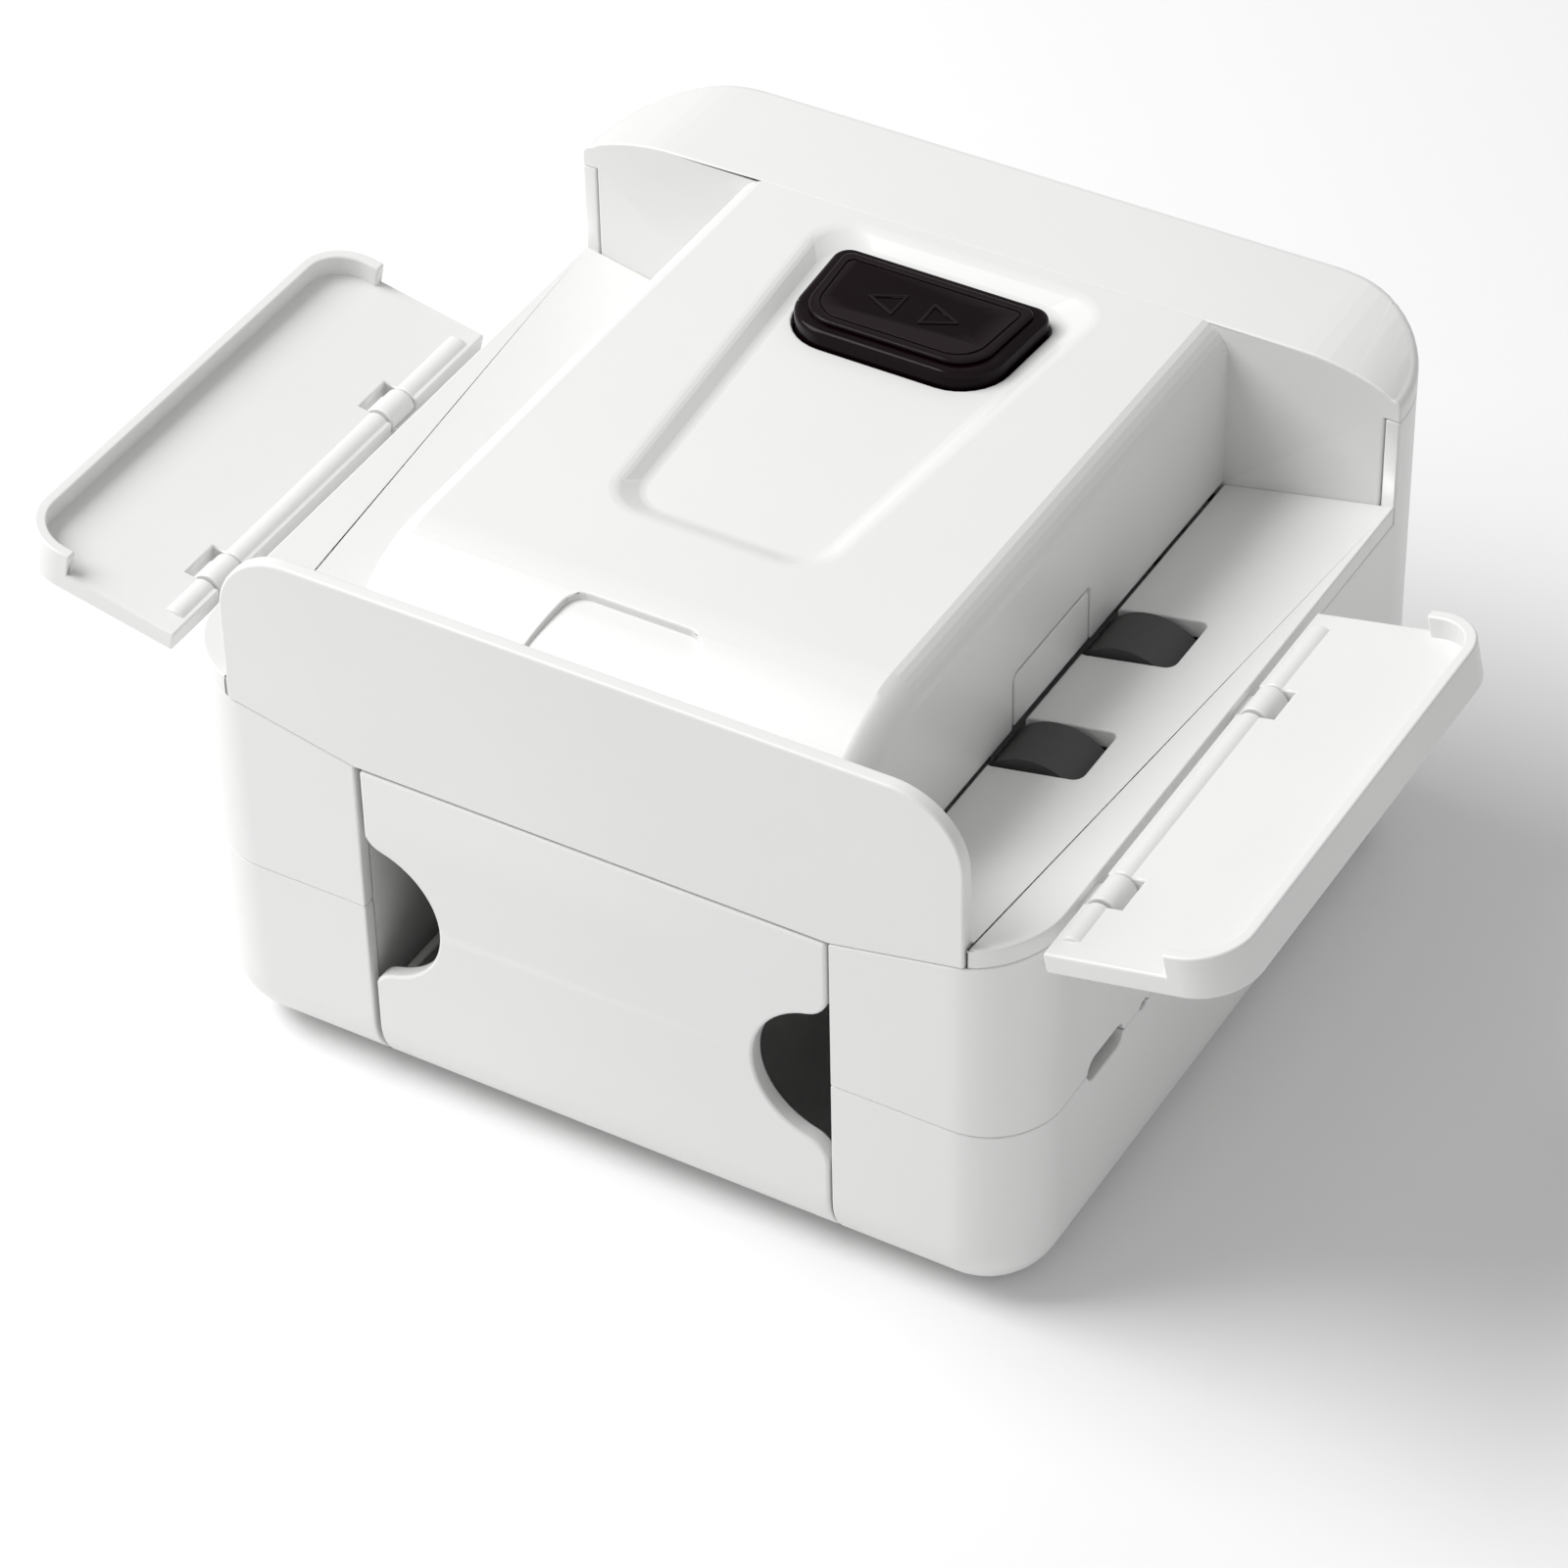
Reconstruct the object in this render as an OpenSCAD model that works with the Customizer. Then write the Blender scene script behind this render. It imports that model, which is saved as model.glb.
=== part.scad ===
// Automatic two-bay card shuffler with a pull-out card drawer, modelled piece by piece.
// X runs right, Y runs to the back, Z runs up; the feet stand on Z = 0.

/* [Body] */
// Width of the case across the two side walls
body_w = 118; // [114:1:126]
// Depth of the case from the front face to the back face
body_d = 116; // [114:1:124]
// Height of the flat top above the table
top_z = 79; // [77:0.5:84]
// Plan radius of the two front corners
front_r = 10; // [9.5:0.5:11]
// Plan radius of the two rear corners
rear_r = 18; // [17:0.5:18.5]
// Radius that rounds the case under its lower edge
base_round = 9; // [7:0.5:9.4]
// Thickness of the case walls
wall = 2; // [1.8:0.1:2.2]
// Height of the seam between the lower and the upper case
seam_z = 29; // [28.5:0.5:30]
// How far the feet stand out under the case
foot_h = 0.8; // [0.6:0.1:1.2]

/* [Card bays] */
// Outward rise of the card shelves in degrees
shelf_angle = 12; // [10:0.5:13]
// Thickness of a card shelf
shelf_t = 2.8; // [2.6:0.1:3]
// Height of the top of the drawer front, where the shelves start
sill_z = 51.5; // [51:0.25:53]
// Width of the bridge between the two bays
bridge_w = 70.6; // [70:0.2:71.4]
// Depth of the tall block behind the bays
block_d = 19; // [18.6:0.1:19.6]
// Width of the raised front wall
front_wall_w = 102; // [98:1:104]

/* [Wings] */
// Length of a wing from its hinge side to its outer end
wing_len = 22.5; // [18:0.5:26]
// Width of a wing along the case
wing_w = 71; // [60:1:78]
// Height of the lip round the outer end of a wing
wing_lip = 3; // [2:0.5:4]

/* [Drawer] */
// Width of the mouth the drawer slides through
open_w = 66; // [65.6:0.1:66.2]
// Side gap between the drawer front and the mouth
drawer_gap = 0.4; // [0.3:0.05:0.5]
// Radius of the half-round finger notches
notch_r = 10.4; // [9.4:0.2:11.4]

/* [Feed] */
// Radius of a feed wheel over its rubber tyre
wheel_r = 8; // [7.8:0.05:8.1]
// How far a feed wheel stands up through its shelf
wheel_up = 0.8; // [0.5:0.1:1]
// Diameter of the steel feed shafts
shaft_d = 4; // [3:0.5:4]
// Radial running gap of every shaft in its bore
run_gap = 0.05; // [0.03:0.01:0.08]
// Free gap round sliding and swinging pieces
slide_gap = 0.35; // [0.3:0.05:0.4]

/* [Button] */
// Width of the start button
button_w = 30; // [28:0.5:31]
// Depth of the start button
button_d = 18; // [17:0.5:18.5]
// How far the button can be pressed
button_travel = 1.2; // [0.8:0.1:1.4]

/* [Which piece] */
// Piece to show

/* [Hidden] */
$fn = 48;
eps = 0.01;
hw = body_w / 2;
hd = body_d / 2;
slope = tan(shelf_angle);
floor_z = foot_h + wall;
bay_y = hd - block_d;
front_in = -hd + wall;
lid_z = top_z - 6.4;
droop = 3.2;
droop_x = hw - 14;
droop_r = (14 * 14 + droop * droop) / (2 * droop);
bridge_x = bridge_w / 2;
bridge_bottom = sill_z + shelf_t + (bridge_x - open_w / 2) * slope + 0.1;
nose_r = 20;
nose_y = front_in + 16;
recess_depth = 1.6;
recess_z = top_z - recess_depth;
cover_t = 2;
// gears: one module, tooth counts give the shaft spacing
mod = 0.8;
shaft_teeth = 20;
idler_teeth = 42;
small_teeth = 10;
big_teeth = 30;
shaft_pr = mod * shaft_teeth / 2;
idler_pr = mod * idler_teeth / 2;
small_pr = mod * small_teeth / 2;
big_pr = mod * big_teeth / 2;
shaft_x = shaft_pr + 2 * idler_pr;
shaft_z = sill_z + shelf_t + (shaft_x - open_w / 2) * slope - (wheel_r - wheel_up) / cos(shelf_angle);
comp_ang = 217;
comp_x = -idler_pr + (idler_pr + small_pr) * cos(comp_ang);
comp_z = shaft_z + (idler_pr + small_pr) * sin(comp_ang);
motor_ang = 215;
motor_x = comp_x + (small_pr + big_pr) * cos(motor_ang);
motor_z = comp_z + (small_pr + big_pr) * sin(motor_ang);
plate_y = bay_y - 2;
plate_t = 2;
gear_y1 = bay_y + 4;
gear_y2 = bay_y + 9;
gear_t = 4;
gear_cover_y = bay_y + 14;
wheel_y = [bay_y - 58, bay_y - 34];
wheel_t = 8;
hub_r = wheel_r - 3;
bush_r = shaft_d / 2 + 1.2;
frame_x = open_w / 2 + 0.2;
frame_t = 1.4;
frame_top = 43.5;
ear_y = -hd + 6;
ear_t = 4;
tray_z = floor_z + 0.7;
tray_t = 1.4;
tray_x = open_w / 2 - 1.1;
tray_back = plate_y - 0.4;
tray_h = 38;
notch_z = (seam_z + foot_h) / 2 + 14;
notch_blend = 3.5;
gate_y = bay_y - 46;
gate_w = 19;
gate_h = 8;
button_y = bay_y - 17;
button_top = recess_z + 2.9;
flange_t = 1;
flange_z = recess_z - cover_t - 0.25 - flange_t;
board_z = button_top - 14.2;
post_x = button_w / 2 + 4.2;
usb_y = -hd + 21;
board_t = 1.6;
main_z = seam_z - 1.6;
board_holes = [[0, 0], [0, 7.5], [8.5, 2]];
board_y0 = -hd + 14.5;
board_y1 = -hd + 38;
board_x0 = hw - 23;
board_x1 = hw - wall - 0.3;
cell_r = 9.2;
cell_x = hw - 13;
cell_z = floor_z + 0.9 + cell_r;
cell_len = 65;
cell_y0 = plate_y - 2 - cell_len;
boss = [[hw - 10, -hd + 10], [hw - 7, bay_y + 4]];
boss_hole_r = 1.2;
head_z = 15;
hinge_x = hw + 3.2;
hinge_z = sill_z + shelf_t / 2 + (hinge_x - open_w / 2) * slope;
pin_r = 1;
wing_y0 = -hd + 2.2;
lug_y = [wing_y0 + 13, wing_y0 + 52];
lug_w = 5;
wing_in = -2;

function seam_h(x) = sill_z + (abs(x) - open_w / 2) * slope;
function shelf_h(x) = seam_h(x) + shelf_t;

// case outline, drawn in by t
module plan(t) {
  w = hw - t;
  f = -hd + t;
  b = hd - t;
  rf = front_r - t;
  rr = rear_r - t;
  translate([-(w - rf), f]) square([2 * (w - rf), rf + 1]);
  translate([-w, f + rf]) square([2 * w, b - f - rf - rr]);
  translate([-(w - rr), b - rr - 1]) square([2 * (w - rr), rr + 1]);
  for (s = [-1, 1]) {
    translate([s * (w - rf), f + rf]) circle(rf);
    translate([s * (w - rr), b - rr]) circle(rr);
  }
}

// edge profile with its lower outer corner rounded by q
module rim_profile(r, h, q) {
  square([r - q, h]);
  translate([0, q]) square([r, h - q]);
  intersection() {
    translate([r - q, q]) circle(q);
    translate([r - q, 0]) square([q, q]);
  }
}

// lower case block with rounded bottom, drawn in by t and reaching z1
module tub(t, z1) {
  w = hw - t;
  f = -hd + t;
  b = hd - t;
  rf = front_r - t;
  rr = rear_r - t;
  q = base_round - t;
  h = z1 - foot_h - t;
  translate([0, 0, foot_h + t]) {
    for (s = [0, 1]) mirror([s, 0, 0]) {
      translate([w - rf, f + rf, 0]) rotate([0, 0, 270]) rotate_extrude(angle = 90) rim_profile(rf, h, q);
      translate([w - rr, b - rr, 0]) rotate_extrude(angle = 90) rim_profile(rr, h, q);
      translate([w - rr, b - rr, 0]) rotate([90, 0, 0]) linear_extrude(b - rr - f - rf) rim_profile(rr, h, q);
    }
    translate([-(w - rf), f + rf, 0]) rotate([90, 0, 90]) linear_extrude(2 * (w - rf))
      mirror([1, 0]) rim_profile(rf, h, q);
    translate([-(w - rr), b - rr, 0]) rotate([90, 0, 90]) linear_extrude(2 * (w - rr)) rim_profile(rr, h, q);
    translate([-(w - rr), f + rf, 0]) cube([2 * (w - rr), b - rr - f - rf, h]);
  }
}

// everything under the plane the shelves rest on, as an XZ outline
module under_seam(x, z0) {
  polygon([[-x, z0], [x, z0], [x, seam_h(x)], [open_w / 2, sill_z], [-open_w / 2, sill_z], [-x, seam_h(x)]]);
}

// slot for the charging plug
module usb_slot() {
  for (e = [-1, 1]) translate([hw - wall - 1, usb_y + e * 2.9, seam_z]) rotate([0, 90, 0]) cylinder(r = 1.7, h = wall + 2);
  translate([hw - wall - 1, usb_y - 2.9, seam_z - 1.7]) cube([wall + 2, 5.8, 3.4]);
  translate([hw - wall - 1, usb_y + 9, seam_z - 0.5]) cube([wall + 2, 1.8, 1]);
}

module bottom_shell() {
  color("white") difference() {
    union() {
      difference() {
        tub(0, seam_z);
        tub(wall, seam_z + 1);
      }
      intersection() {
        tub(0, seam_z);
        for (s = [-1, 1], p = boss) translate([s * p[0], p[1], foot_h]) cylinder(r = 4, h = seam_z - foot_h);
      }
      for (x = [-20, 20]) translate([x - 1, -hd + 14, floor_z - eps]) cube([2, plate_y + hd - 16, 0.6]);
      for (p = board_holes)
        translate([board_x0 + 2.5 + p[0], board_y0 + 3 + p[1], floor_z - eps]) cylinder(r = 1.8, h = main_z - board_t - floor_z);
    }
    translate([-open_w / 2, -hd - 1, foot_h + 1.2]) cube([open_w, base_round + 3, seam_z]);
    for (s = [-1, 1], p = boss) {
      translate([s * p[0], p[1], foot_h - 1]) cylinder(r = 2.7, h = head_z - foot_h + 1);
      translate([s * p[0], p[1], foot_h]) cylinder(r = 1.5, h = seam_z);
    }
    for (s = [-1, 1], y = [-hd + 22, bay_y - 6]) translate([s * (hw - 22), y, foot_h - 1]) cylinder(r = 6.1, h = 1.6);
    for (p = board_holes)
      translate([board_x0 + 2.5 + p[0], board_y0 + 3 + p[1], main_z - board_t - 6]) cylinder(r = 0.75, h = 8);
    usb_slot();
  }
}

module body_shell() {
  color("white") difference() {
    union() {
      difference() {
        union() {
          intersection() {
            translate([0, bay_y + 1, 0]) rotate([90, 0, 0]) linear_extrude(body_d) under_seam(hw + 2, seam_z);
            linear_extrude(top_z) plan(0);
          }
          intersection() {
            translate([0, 0, seam_z]) linear_extrude(lid_z - seam_z) plan(0);
            translate([-hw - 1, bay_y, 0]) cube([body_w + 2, block_d + 1, top_z]);
          }
        }
        translate([0, 0, seam_z - 1]) linear_extrude(top_z) plan(wall);
      }
      intersection() {
        translate([0, 0, seam_z]) linear_extrude(8) plan(0.5);
        for (s = [-1, 1], p = boss) {
          translate([s * p[0], p[1], seam_z]) cylinder(r = 3.4, h = 7);
          translate([s * p[0] + (s < 0 ? -9 : 0), p[1] - 0.8, seam_z]) cube([9, 1.6, 7]);
        }
      }
    }
    translate([-open_w / 2, -hd - 1, seam_z - 1]) cube([open_w, wall + 2, sill_z]);
    for (s = [-1, 1], p = boss) translate([s * p[0], p[1], seam_z - 1]) cylinder(r = boss_hole_r, h = 7);
    usb_slot();
  }
  color("white") for (s = [-1, 1], y = lug_y) wing_lug(s, y);
}

// hinge lug on the case side
module wing_lug(s, y) {
  difference() {
    union() {
      translate([s * hinge_x, y + lug_w / 2, hinge_z]) rotate([90, 0, 0]) cylinder(r = 2.1, h = lug_w);
      translate([s > 0 ? hw + 0.1 : -hinge_x, y - lug_w / 2, hinge_z - 2.1]) cube([hinge_x - hw - 0.1, lug_w, 1.8]);
      translate([s > 0 ? hw + 0.1 : -hw - 1.3, y - lug_w / 2, hinge_z - 5.5]) cube([1.2, lug_w, 4]);
      translate([s > 0 ? hw - 1 : -hw - 0.2, y - lug_w / 2, hinge_z - 5.5]) cube([1.2, lug_w, seam_h(hw - 1) - hinge_z + 5.2]);
    }
    translate([s * hinge_x, y + lug_w / 2 + 1, hinge_z]) rotate([90, 0, 0]) cylinder(r = pin_r, h = lug_w + 2);
  }
}

// side outline of the bridge, drawn in by t
module bridge_side(t, y0, y1) {
  translate([nose_y - eps, bridge_bottom]) square([y1 - nose_y + eps, top_z - t - bridge_bottom]);
  intersection() {
    translate([nose_y, top_z - nose_r]) circle(nose_r - t, $fn = 96);
    translate([y0, bridge_bottom]) square([nose_y - y0, top_z - bridge_bottom]);
  }
}

module bridge_block(t, y0, y1) {
  translate([-bridge_x + t, 0, 0]) rotate([90, 0, 90]) linear_extrude(bridge_w - 2 * t) bridge_side(t, y0, y1);
}

// outline of the start button, grown by g
module button_plan(g) {
  w = button_w / 2;
  rb = 2.5;
  rf = 6;
  for (s = [-1, 1]) {
    translate([s * (w - rb), button_y + button_d / 2 - rb]) circle(rb + g);
    translate([s * (w - rf), button_y - button_d / 2 + rf]) circle(rf + g);
  }
  translate([-w - g, button_y - button_d / 2 + rf]) square([button_w + 2 * g, button_d - rf - rb]);
  translate([-(w - rf), button_y - button_d / 2 - g]) square([2 * (w - rf), button_d / 2 + g]);
  translate([-(w - rb), button_y]) square([2 * (w - rb), button_d / 2 + g]);
}

module recess_plan() {
  polygon([[-14.5, bay_y - 67.2], [14.5, bay_y - 67.2], [19.7, bay_y - 3.4], [-19.7, bay_y - 3.4]]);
}

// top of the block with its ends drooping
module lid_side() {
  translate([-droop_x, lid_z]) square([2 * droop_x, top_z - lid_z]);
  for (s = [-1, 1]) intersection() {
    translate([s * droop_x, top_z - droop_r]) circle(droop_r, $fn = 96);
    translate([s > 0 ? droop_x - eps : -hw - 1, lid_z]) square([hw + 1 - droop_x, top_z - lid_z]);
  }
}

module top_cover() {
  color("white") difference() {
    union() {
      bridge_block(0, front_in + 0.1, bay_y + 3);
      intersection() {
        translate([0, 0, lid_z]) linear_extrude(top_z - lid_z) plan(0);
        translate([0, hd + 1, 0]) rotate([90, 0, 0]) linear_extrude(block_d + 1) lid_side();
      }
      for (s = [-1, 1]) translate([s > 0 ? bridge_x - cover_t : -(hw - wall - 0.1), bay_y, sill_z + 1])
        cube([hw - wall - 0.1 - bridge_x + cover_t, cover_t, lid_z - sill_z]);
    }
    // hollow of the bridge, of the block lid and under the recess
    difference() {
      union() {
        difference() {
          translate([0, 0, -eps]) bridge_block(cover_t, front_in, bay_y + 5);
          translate([-hw, -hd, 0]) cube([body_w, body_d, bridge_bottom]);
        }
        translate([-bridge_x + cover_t, front_in, bridge_bottom - 1]) cube([bridge_w - 2 * cover_t, bay_y - front_in + 5, 2]);
        intersection() {
          translate([0, 0, lid_z - 1]) linear_extrude(top_z) plan(wall);
          union() {
            translate([-hw, bay_y + cover_t, lid_z - 1]) cube([body_w, block_d, 2.2]);
            translate([-droop_x + 1, bay_y + cover_t, lid_z - 1]) cube([2 * droop_x - 2, block_d, top_z - cover_t - lid_z + 1]);
          }
        }
      }
      translate([0, 0, recess_z - cover_t]) linear_extrude(cover_t + recess_depth) scale([1.08, 1, 1]) recess_plan();
      for (s = [-1, 1]) translate([s * post_x, button_y, board_z + board_t]) cylinder(r = 2.2, h = top_z - board_z - 2);
    }
    // long edge bevels
    for (s = [0, 1]) mirror([s, 0, 0]) translate([0, bay_y, 0]) rotate([90, 0, 0]) linear_extrude(body_d)
      polygon([[bridge_x - 2.8, top_z], [bridge_x, top_z - 3.8], [bridge_x + 1, top_z - 3.8], [bridge_x + 1, top_z + 1], [bridge_x - 2.8, top_z + 1]]);
    translate([0, 0, recess_z]) linear_extrude(4) recess_plan();
    translate([0, 0, recess_z - cover_t - 1]) linear_extrude(6) button_plan(slide_gap);
    difference() {
      translate([0, 0, bridge_bottom]) linear_extrude(top_z)
        polygon([[-12, front_in], [12, front_in], [9, front_in + 11], [-9, front_in + 11]]);
      bridge_block(1.2, front_in - 1, bay_y);
    }
    for (s = [-1, 1]) {
      translate([s * (bridge_x - 1) - 2, gate_y - gate_w / 2 - slide_gap, bridge_bottom - 1])
        cube([4, gate_w + 2 * slide_gap, gate_h + 1.3 + slide_gap]);
      translate([s * (bridge_x - 1), gate_y + gate_w / 2 + 2, bridge_bottom + gate_h - 1]) rotate([90, 0, 0])
        cylinder(r = 0.6 + run_gap, h = gate_w + 4, $fn = 32);
      translate([s * post_x, button_y, board_z]) cylinder(r = 0.8, h = 6);
    }
  }
}

module front_wall() {
  w = front_wall_w / 2;
  r = 10;
  color("white") translate([0, -hd + wall, 0]) rotate([90, 0, 0]) linear_extrude(wall) difference() {
    union() {
      translate([-w, sill_z]) square([2 * w, top_z - r - sill_z]);
      translate([-w + r, sill_z]) square([2 * (w - r), top_z - sill_z]);
      for (s = [-1, 1]) translate([s * (w - r), top_z - r]) circle(r, $fn = 96);
    }
    under_seam(hw + 2, 0);
  }
}

// card shelf on side s, with slots for its feed wheels
module shelf(s) {
  x0 = bridge_x + 0.2;
  x1 = hw + 1;
  color("white") difference() {
    intersection() {
      translate([0, bay_y, 0]) rotate([90, 0, 0]) linear_extrude(bay_y + hd)
        polygon([[s * x0, seam_h(x0)], [s * x1, seam_h(x1)], [s * x1, shelf_h(x1)], [s * x0, shelf_h(x0)]]);
      linear_extrude(top_z) plan(0);
    }
    translate([-front_wall_w / 2 - 0.15, -hd - 1, 0]) cube([front_wall_w + 0.3, wall + 1.1, top_z]);
    for (y = wheel_y) translate([s * shaft_x - 6.5, y - wheel_t / 2 - 1, 0]) cube([13, wheel_t + 2, top_z]);
  }
}

module left_shelf() { shelf(-1); }
module right_shelf() { shelf(1); }

// wing outline in its own plane: u runs out from the hinge, v along the case
module wing_plan(l, w, r) {
  translate([wing_in, 0]) square([l - r - wing_in, w]);
  translate([0, r]) square([l, w - 2 * r]);
  for (v = [r, w - r]) translate([l - r, v]) circle(r);
}

// fold-up wing on side s
module wing(s) {
  l = wing_len;
  r = 7;
  color("white") translate([s * hinge_x, wing_y0, hinge_z]) mirror([s > 0 ? 0 : 1, 0, 0]) rotate([0, -shelf_angle, 0]) difference() {
    union() {
      translate([0, 0, -shelf_t / 2]) linear_extrude(shelf_t) wing_plan(l, wing_w, r);
      translate([0, 0, -shelf_t / 2]) linear_extrude(shelf_t + wing_lip) difference() {
        wing_plan(l, wing_w, r);
        translate([0, 1.6]) wing_plan(l - 1.6, wing_w - 3.2, r - 1.6);
        translate([-5, -1]) square([l - 2.6, wing_w + 2]);
      }
      translate([0, wing_w, 0]) rotate([90, 0, 0]) translate([0, 0, 3]) cylinder(r = 1.9, h = wing_w - 6);
    }
    for (y = lug_y) translate([-4, y - wing_y0 - lug_w / 2 - slide_gap, -6]) cube([7, lug_w + 2 * slide_gap, 12]);
    translate([0, wing_w + 1, 0]) rotate([90, 0, 0]) cylinder(r = pin_r + run_gap, h = wing_w + 2);
  }
}

module left_wing() { wing(-1); }
module right_wing() { wing(1); }

module wing_pin(s) {
  color("silver") translate([s * hinge_x, lug_y[1] + lug_w / 2 + 3, hinge_z]) rotate([90, 0, 0])
    cylinder(r = pin_r, h = lug_y[1] - lug_y[0] + lug_w + 6);
}

module left_wing_pin() { wing_pin(-1); }
module right_wing_pin() { wing_pin(1); }

// section of the drawer front, drawn in by t
module front_section(t) {
  r = base_round + 1 - t;
  translate([-hd + base_round + 1, foot_h + t]) mirror([1, 0])
    rim_profile(r, sill_z - 0.3 - foot_h - t, base_round - t);
}

// finger notch cut in from the side edge, flared where it meets the edge
module notch_shape(flare) {
  reach = notch_r + notch_blend;
  rise = sqrt(reach * reach - notch_blend * notch_blend);
  circle(notch_r, $fn = 96);
  if (flare) difference() {
    translate([0, -rise]) square([notch_blend * notch_r / reach, 2 * rise]);
    for (e = [-1, 1]) translate([notch_blend, e * rise]) circle(notch_blend);
  }
}

module drawer_front() {
  x = open_w / 2 - drawer_gap;
  color("white") difference() {
    translate([-x, 0, 0]) rotate([90, 0, 90]) linear_extrude(2 * x) difference() {
      front_section(0);
      translate([0.5, 0.5]) front_section(2.4);
      translate([-hd + 2.4, base_round + foot_h]) square([20, sill_z]);
      translate([-hd - 1, 0]) square([base_round + 5, foot_h + 1.5]);
    }
    for (s = [0, 1]) mirror([s, 0, 0]) translate([-x, -hd + 4, notch_z]) rotate([90, 0, 0])
      linear_extrude(10) notch_shape(true);
  }
}

module drawer_tray() {
  y0 = -hd + 2.4;
  color("gainsboro") difference() {
    translate([-tray_x, y0, tray_z]) cube([2 * tray_x, tray_back - y0, tray_h]);
    translate([-tray_x + tray_t, y0 - 1, tray_z + tray_t]) cube([2 * (tray_x - tray_t), tray_back - y0 - tray_t + 1, tray_h]);
    translate([-hw, y0 - 1, tray_z - 1]) cube([body_w, base_round, base_round + foot_h - tray_z + 1.1]);
    for (s = [-1, 1]) translate([s * open_w / 2, y0 - 1, notch_z]) rotate([-90, 0, 0]) cylinder(r = notch_r + notch_blend, h = 18);
    translate([0, tray_back - 12, tray_z - 1]) cylinder(r = 9, h = 4);
  }
}

module button_cap() {
  color("black") difference() {
    union() {
      translate([0, 0, flange_z]) linear_extrude(button_top - flange_z) button_plan(0);
      translate([0, 0, flange_z]) linear_extrude(flange_t) button_plan(1.2);
    }
    translate([0, 0, flange_z - 1]) linear_extrude(button_top - flange_z - 0.8) button_plan(-1.6);
    // engraved pair of arrows and panel frame
    translate([0, 0, button_top - 0.4]) linear_extrude(1) difference() {
      translate([-12, button_y - 5.6]) square([24, 12]);
      translate([-11.7, button_y - 5.3]) square([23.4, 11.4]);
    }
    for (s = [-1, 1]) translate([s * 4, button_y, button_top - 0.4]) linear_extrude(1)
      polygon([[-s * 2.4, -2.6], [-s * 2.4, 2.6], [s * 2.4, 0]]);
  }
  color("black") translate([0, button_y, board_z + board_t + 4.9]) cylinder(r = 2, h = button_top - board_z - board_t - 6.1);
}

module button_springs() {
  color("silver") for (s = [-1, 1]) translate([s * 9, button_y, board_z + board_t]) difference() {
    cylinder(r = 2, h = button_top - 1.8 - board_z - board_t);
    translate([0, 0, -1]) cylinder(r = 1.5, h = 20);
  }
}

module switch_plunger() {
  color("black") translate([0, button_y, board_z + board_t + 3]) cylinder(r = 1.6, h = 1.9);
}

module switch_body() {
  color("dimgray") difference() {
    translate([-3, button_y - 3, board_z + board_t]) cube([6, 6, 3.6]);
    translate([0, button_y, board_z + board_t + 1.6]) cylinder(r = 1.6 + slide_gap, h = 3);
  }
}

module switch_board() {
  color("green") difference() {
    translate([-post_x - 3, button_y - 6, board_z]) cube([2 * post_x + 6, 12, board_t]);
    for (s = [-1, 1]) translate([s * post_x, button_y, board_z - 1]) cylinder(r = 1.2, h = 4);
  }
}

// sprung card gate in the bridge wall on side s
module gate(s) {
  t = 1.4;
  z = bridge_bottom + gate_h - 1;
  color("white") {
    translate([s * (bridge_x - 1) - t / 2, gate_y - gate_w / 2, bridge_bottom + 0.5]) cube([t, gate_w, gate_h - 1.5]);
    translate([s * (bridge_x - 1), gate_y + gate_w / 2, z]) rotate([90, 0, 0]) cylinder(r = t / 2, h = gate_w);
    translate([s * (bridge_x - 1), gate_y + gate_w / 2 + 1.5, z]) rotate([90, 0, 0]) cylinder(r = 0.6, h = gate_w + 3, $fn = 32);
  }
}

module left_gate() { gate(-1); }
module right_gate() { gate(1); }

// upright frame beside the drawer on side s, carrying the front shaft bush
module frame(s) {
  color("lightgray") difference() {
    union() {
      translate([s > 0 ? frame_x : -frame_x - frame_t, front_in + 0.3, floor_z]) cube([frame_t, plate_y - front_in - 0.5, frame_top - floor_z]);
      translate([0, ear_y + ear_t, 0]) rotate([90, 0, 0]) linear_extrude(ear_t) intersection() {
        translate([s > 0 ? frame_x : -shaft_x - 5, frame_top - 6.5]) square([shaft_x + 5 - frame_x, 20]);
        translate([0, -0.3]) under_seam(hw, 0);
      }
      translate([s > 0 ? frame_x : -frame_x - 3, ear_y + 8, floor_z]) cube([3, 12, 1.6]);
    }
    translate([s * shaft_x, ear_y + ear_t + 1, shaft_z]) rotate([90, 0, 0]) cylinder(r = bush_r, h = ear_t + 2);
    translate([s > 0 ? frame_x - 1 : -frame_x - frame_t - 1, front_in, 0]) cube([frame_t + 2, base_round, base_round + 1]);
    translate([s > 0 ? frame_x - 1 : -frame_x - 1.2, ear_y - 1, sill_z - 1.5]) cube([2.2, ear_t + 2, 9]);
  }
}

module left_frame() { frame(-1); }
module right_frame() { frame(1); }

// plate that carries the gears, in XZ
module plate_shape() {
  intersection() {
    union() {
      translate([-hw + wall + 0.3, floor_z + 5]) square([body_w - 2 * wall - 0.6, sill_z]);
      translate([-hw + wall + 8, floor_z]) square([body_w - 2 * wall - 16, 10]);
    }
    translate([0, -0.3]) under_seam(hw, 0);
  }
  translate([-bridge_x + cover_t + 0.4, sill_z - 5]) square([bridge_w - 2 * cover_t - 0.8, top_z - 9 - sill_z + 5]);
}

pillars = [[0, shaft_z + 20], [30, shaft_z - 21], [-20, shaft_z - 26]];

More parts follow.
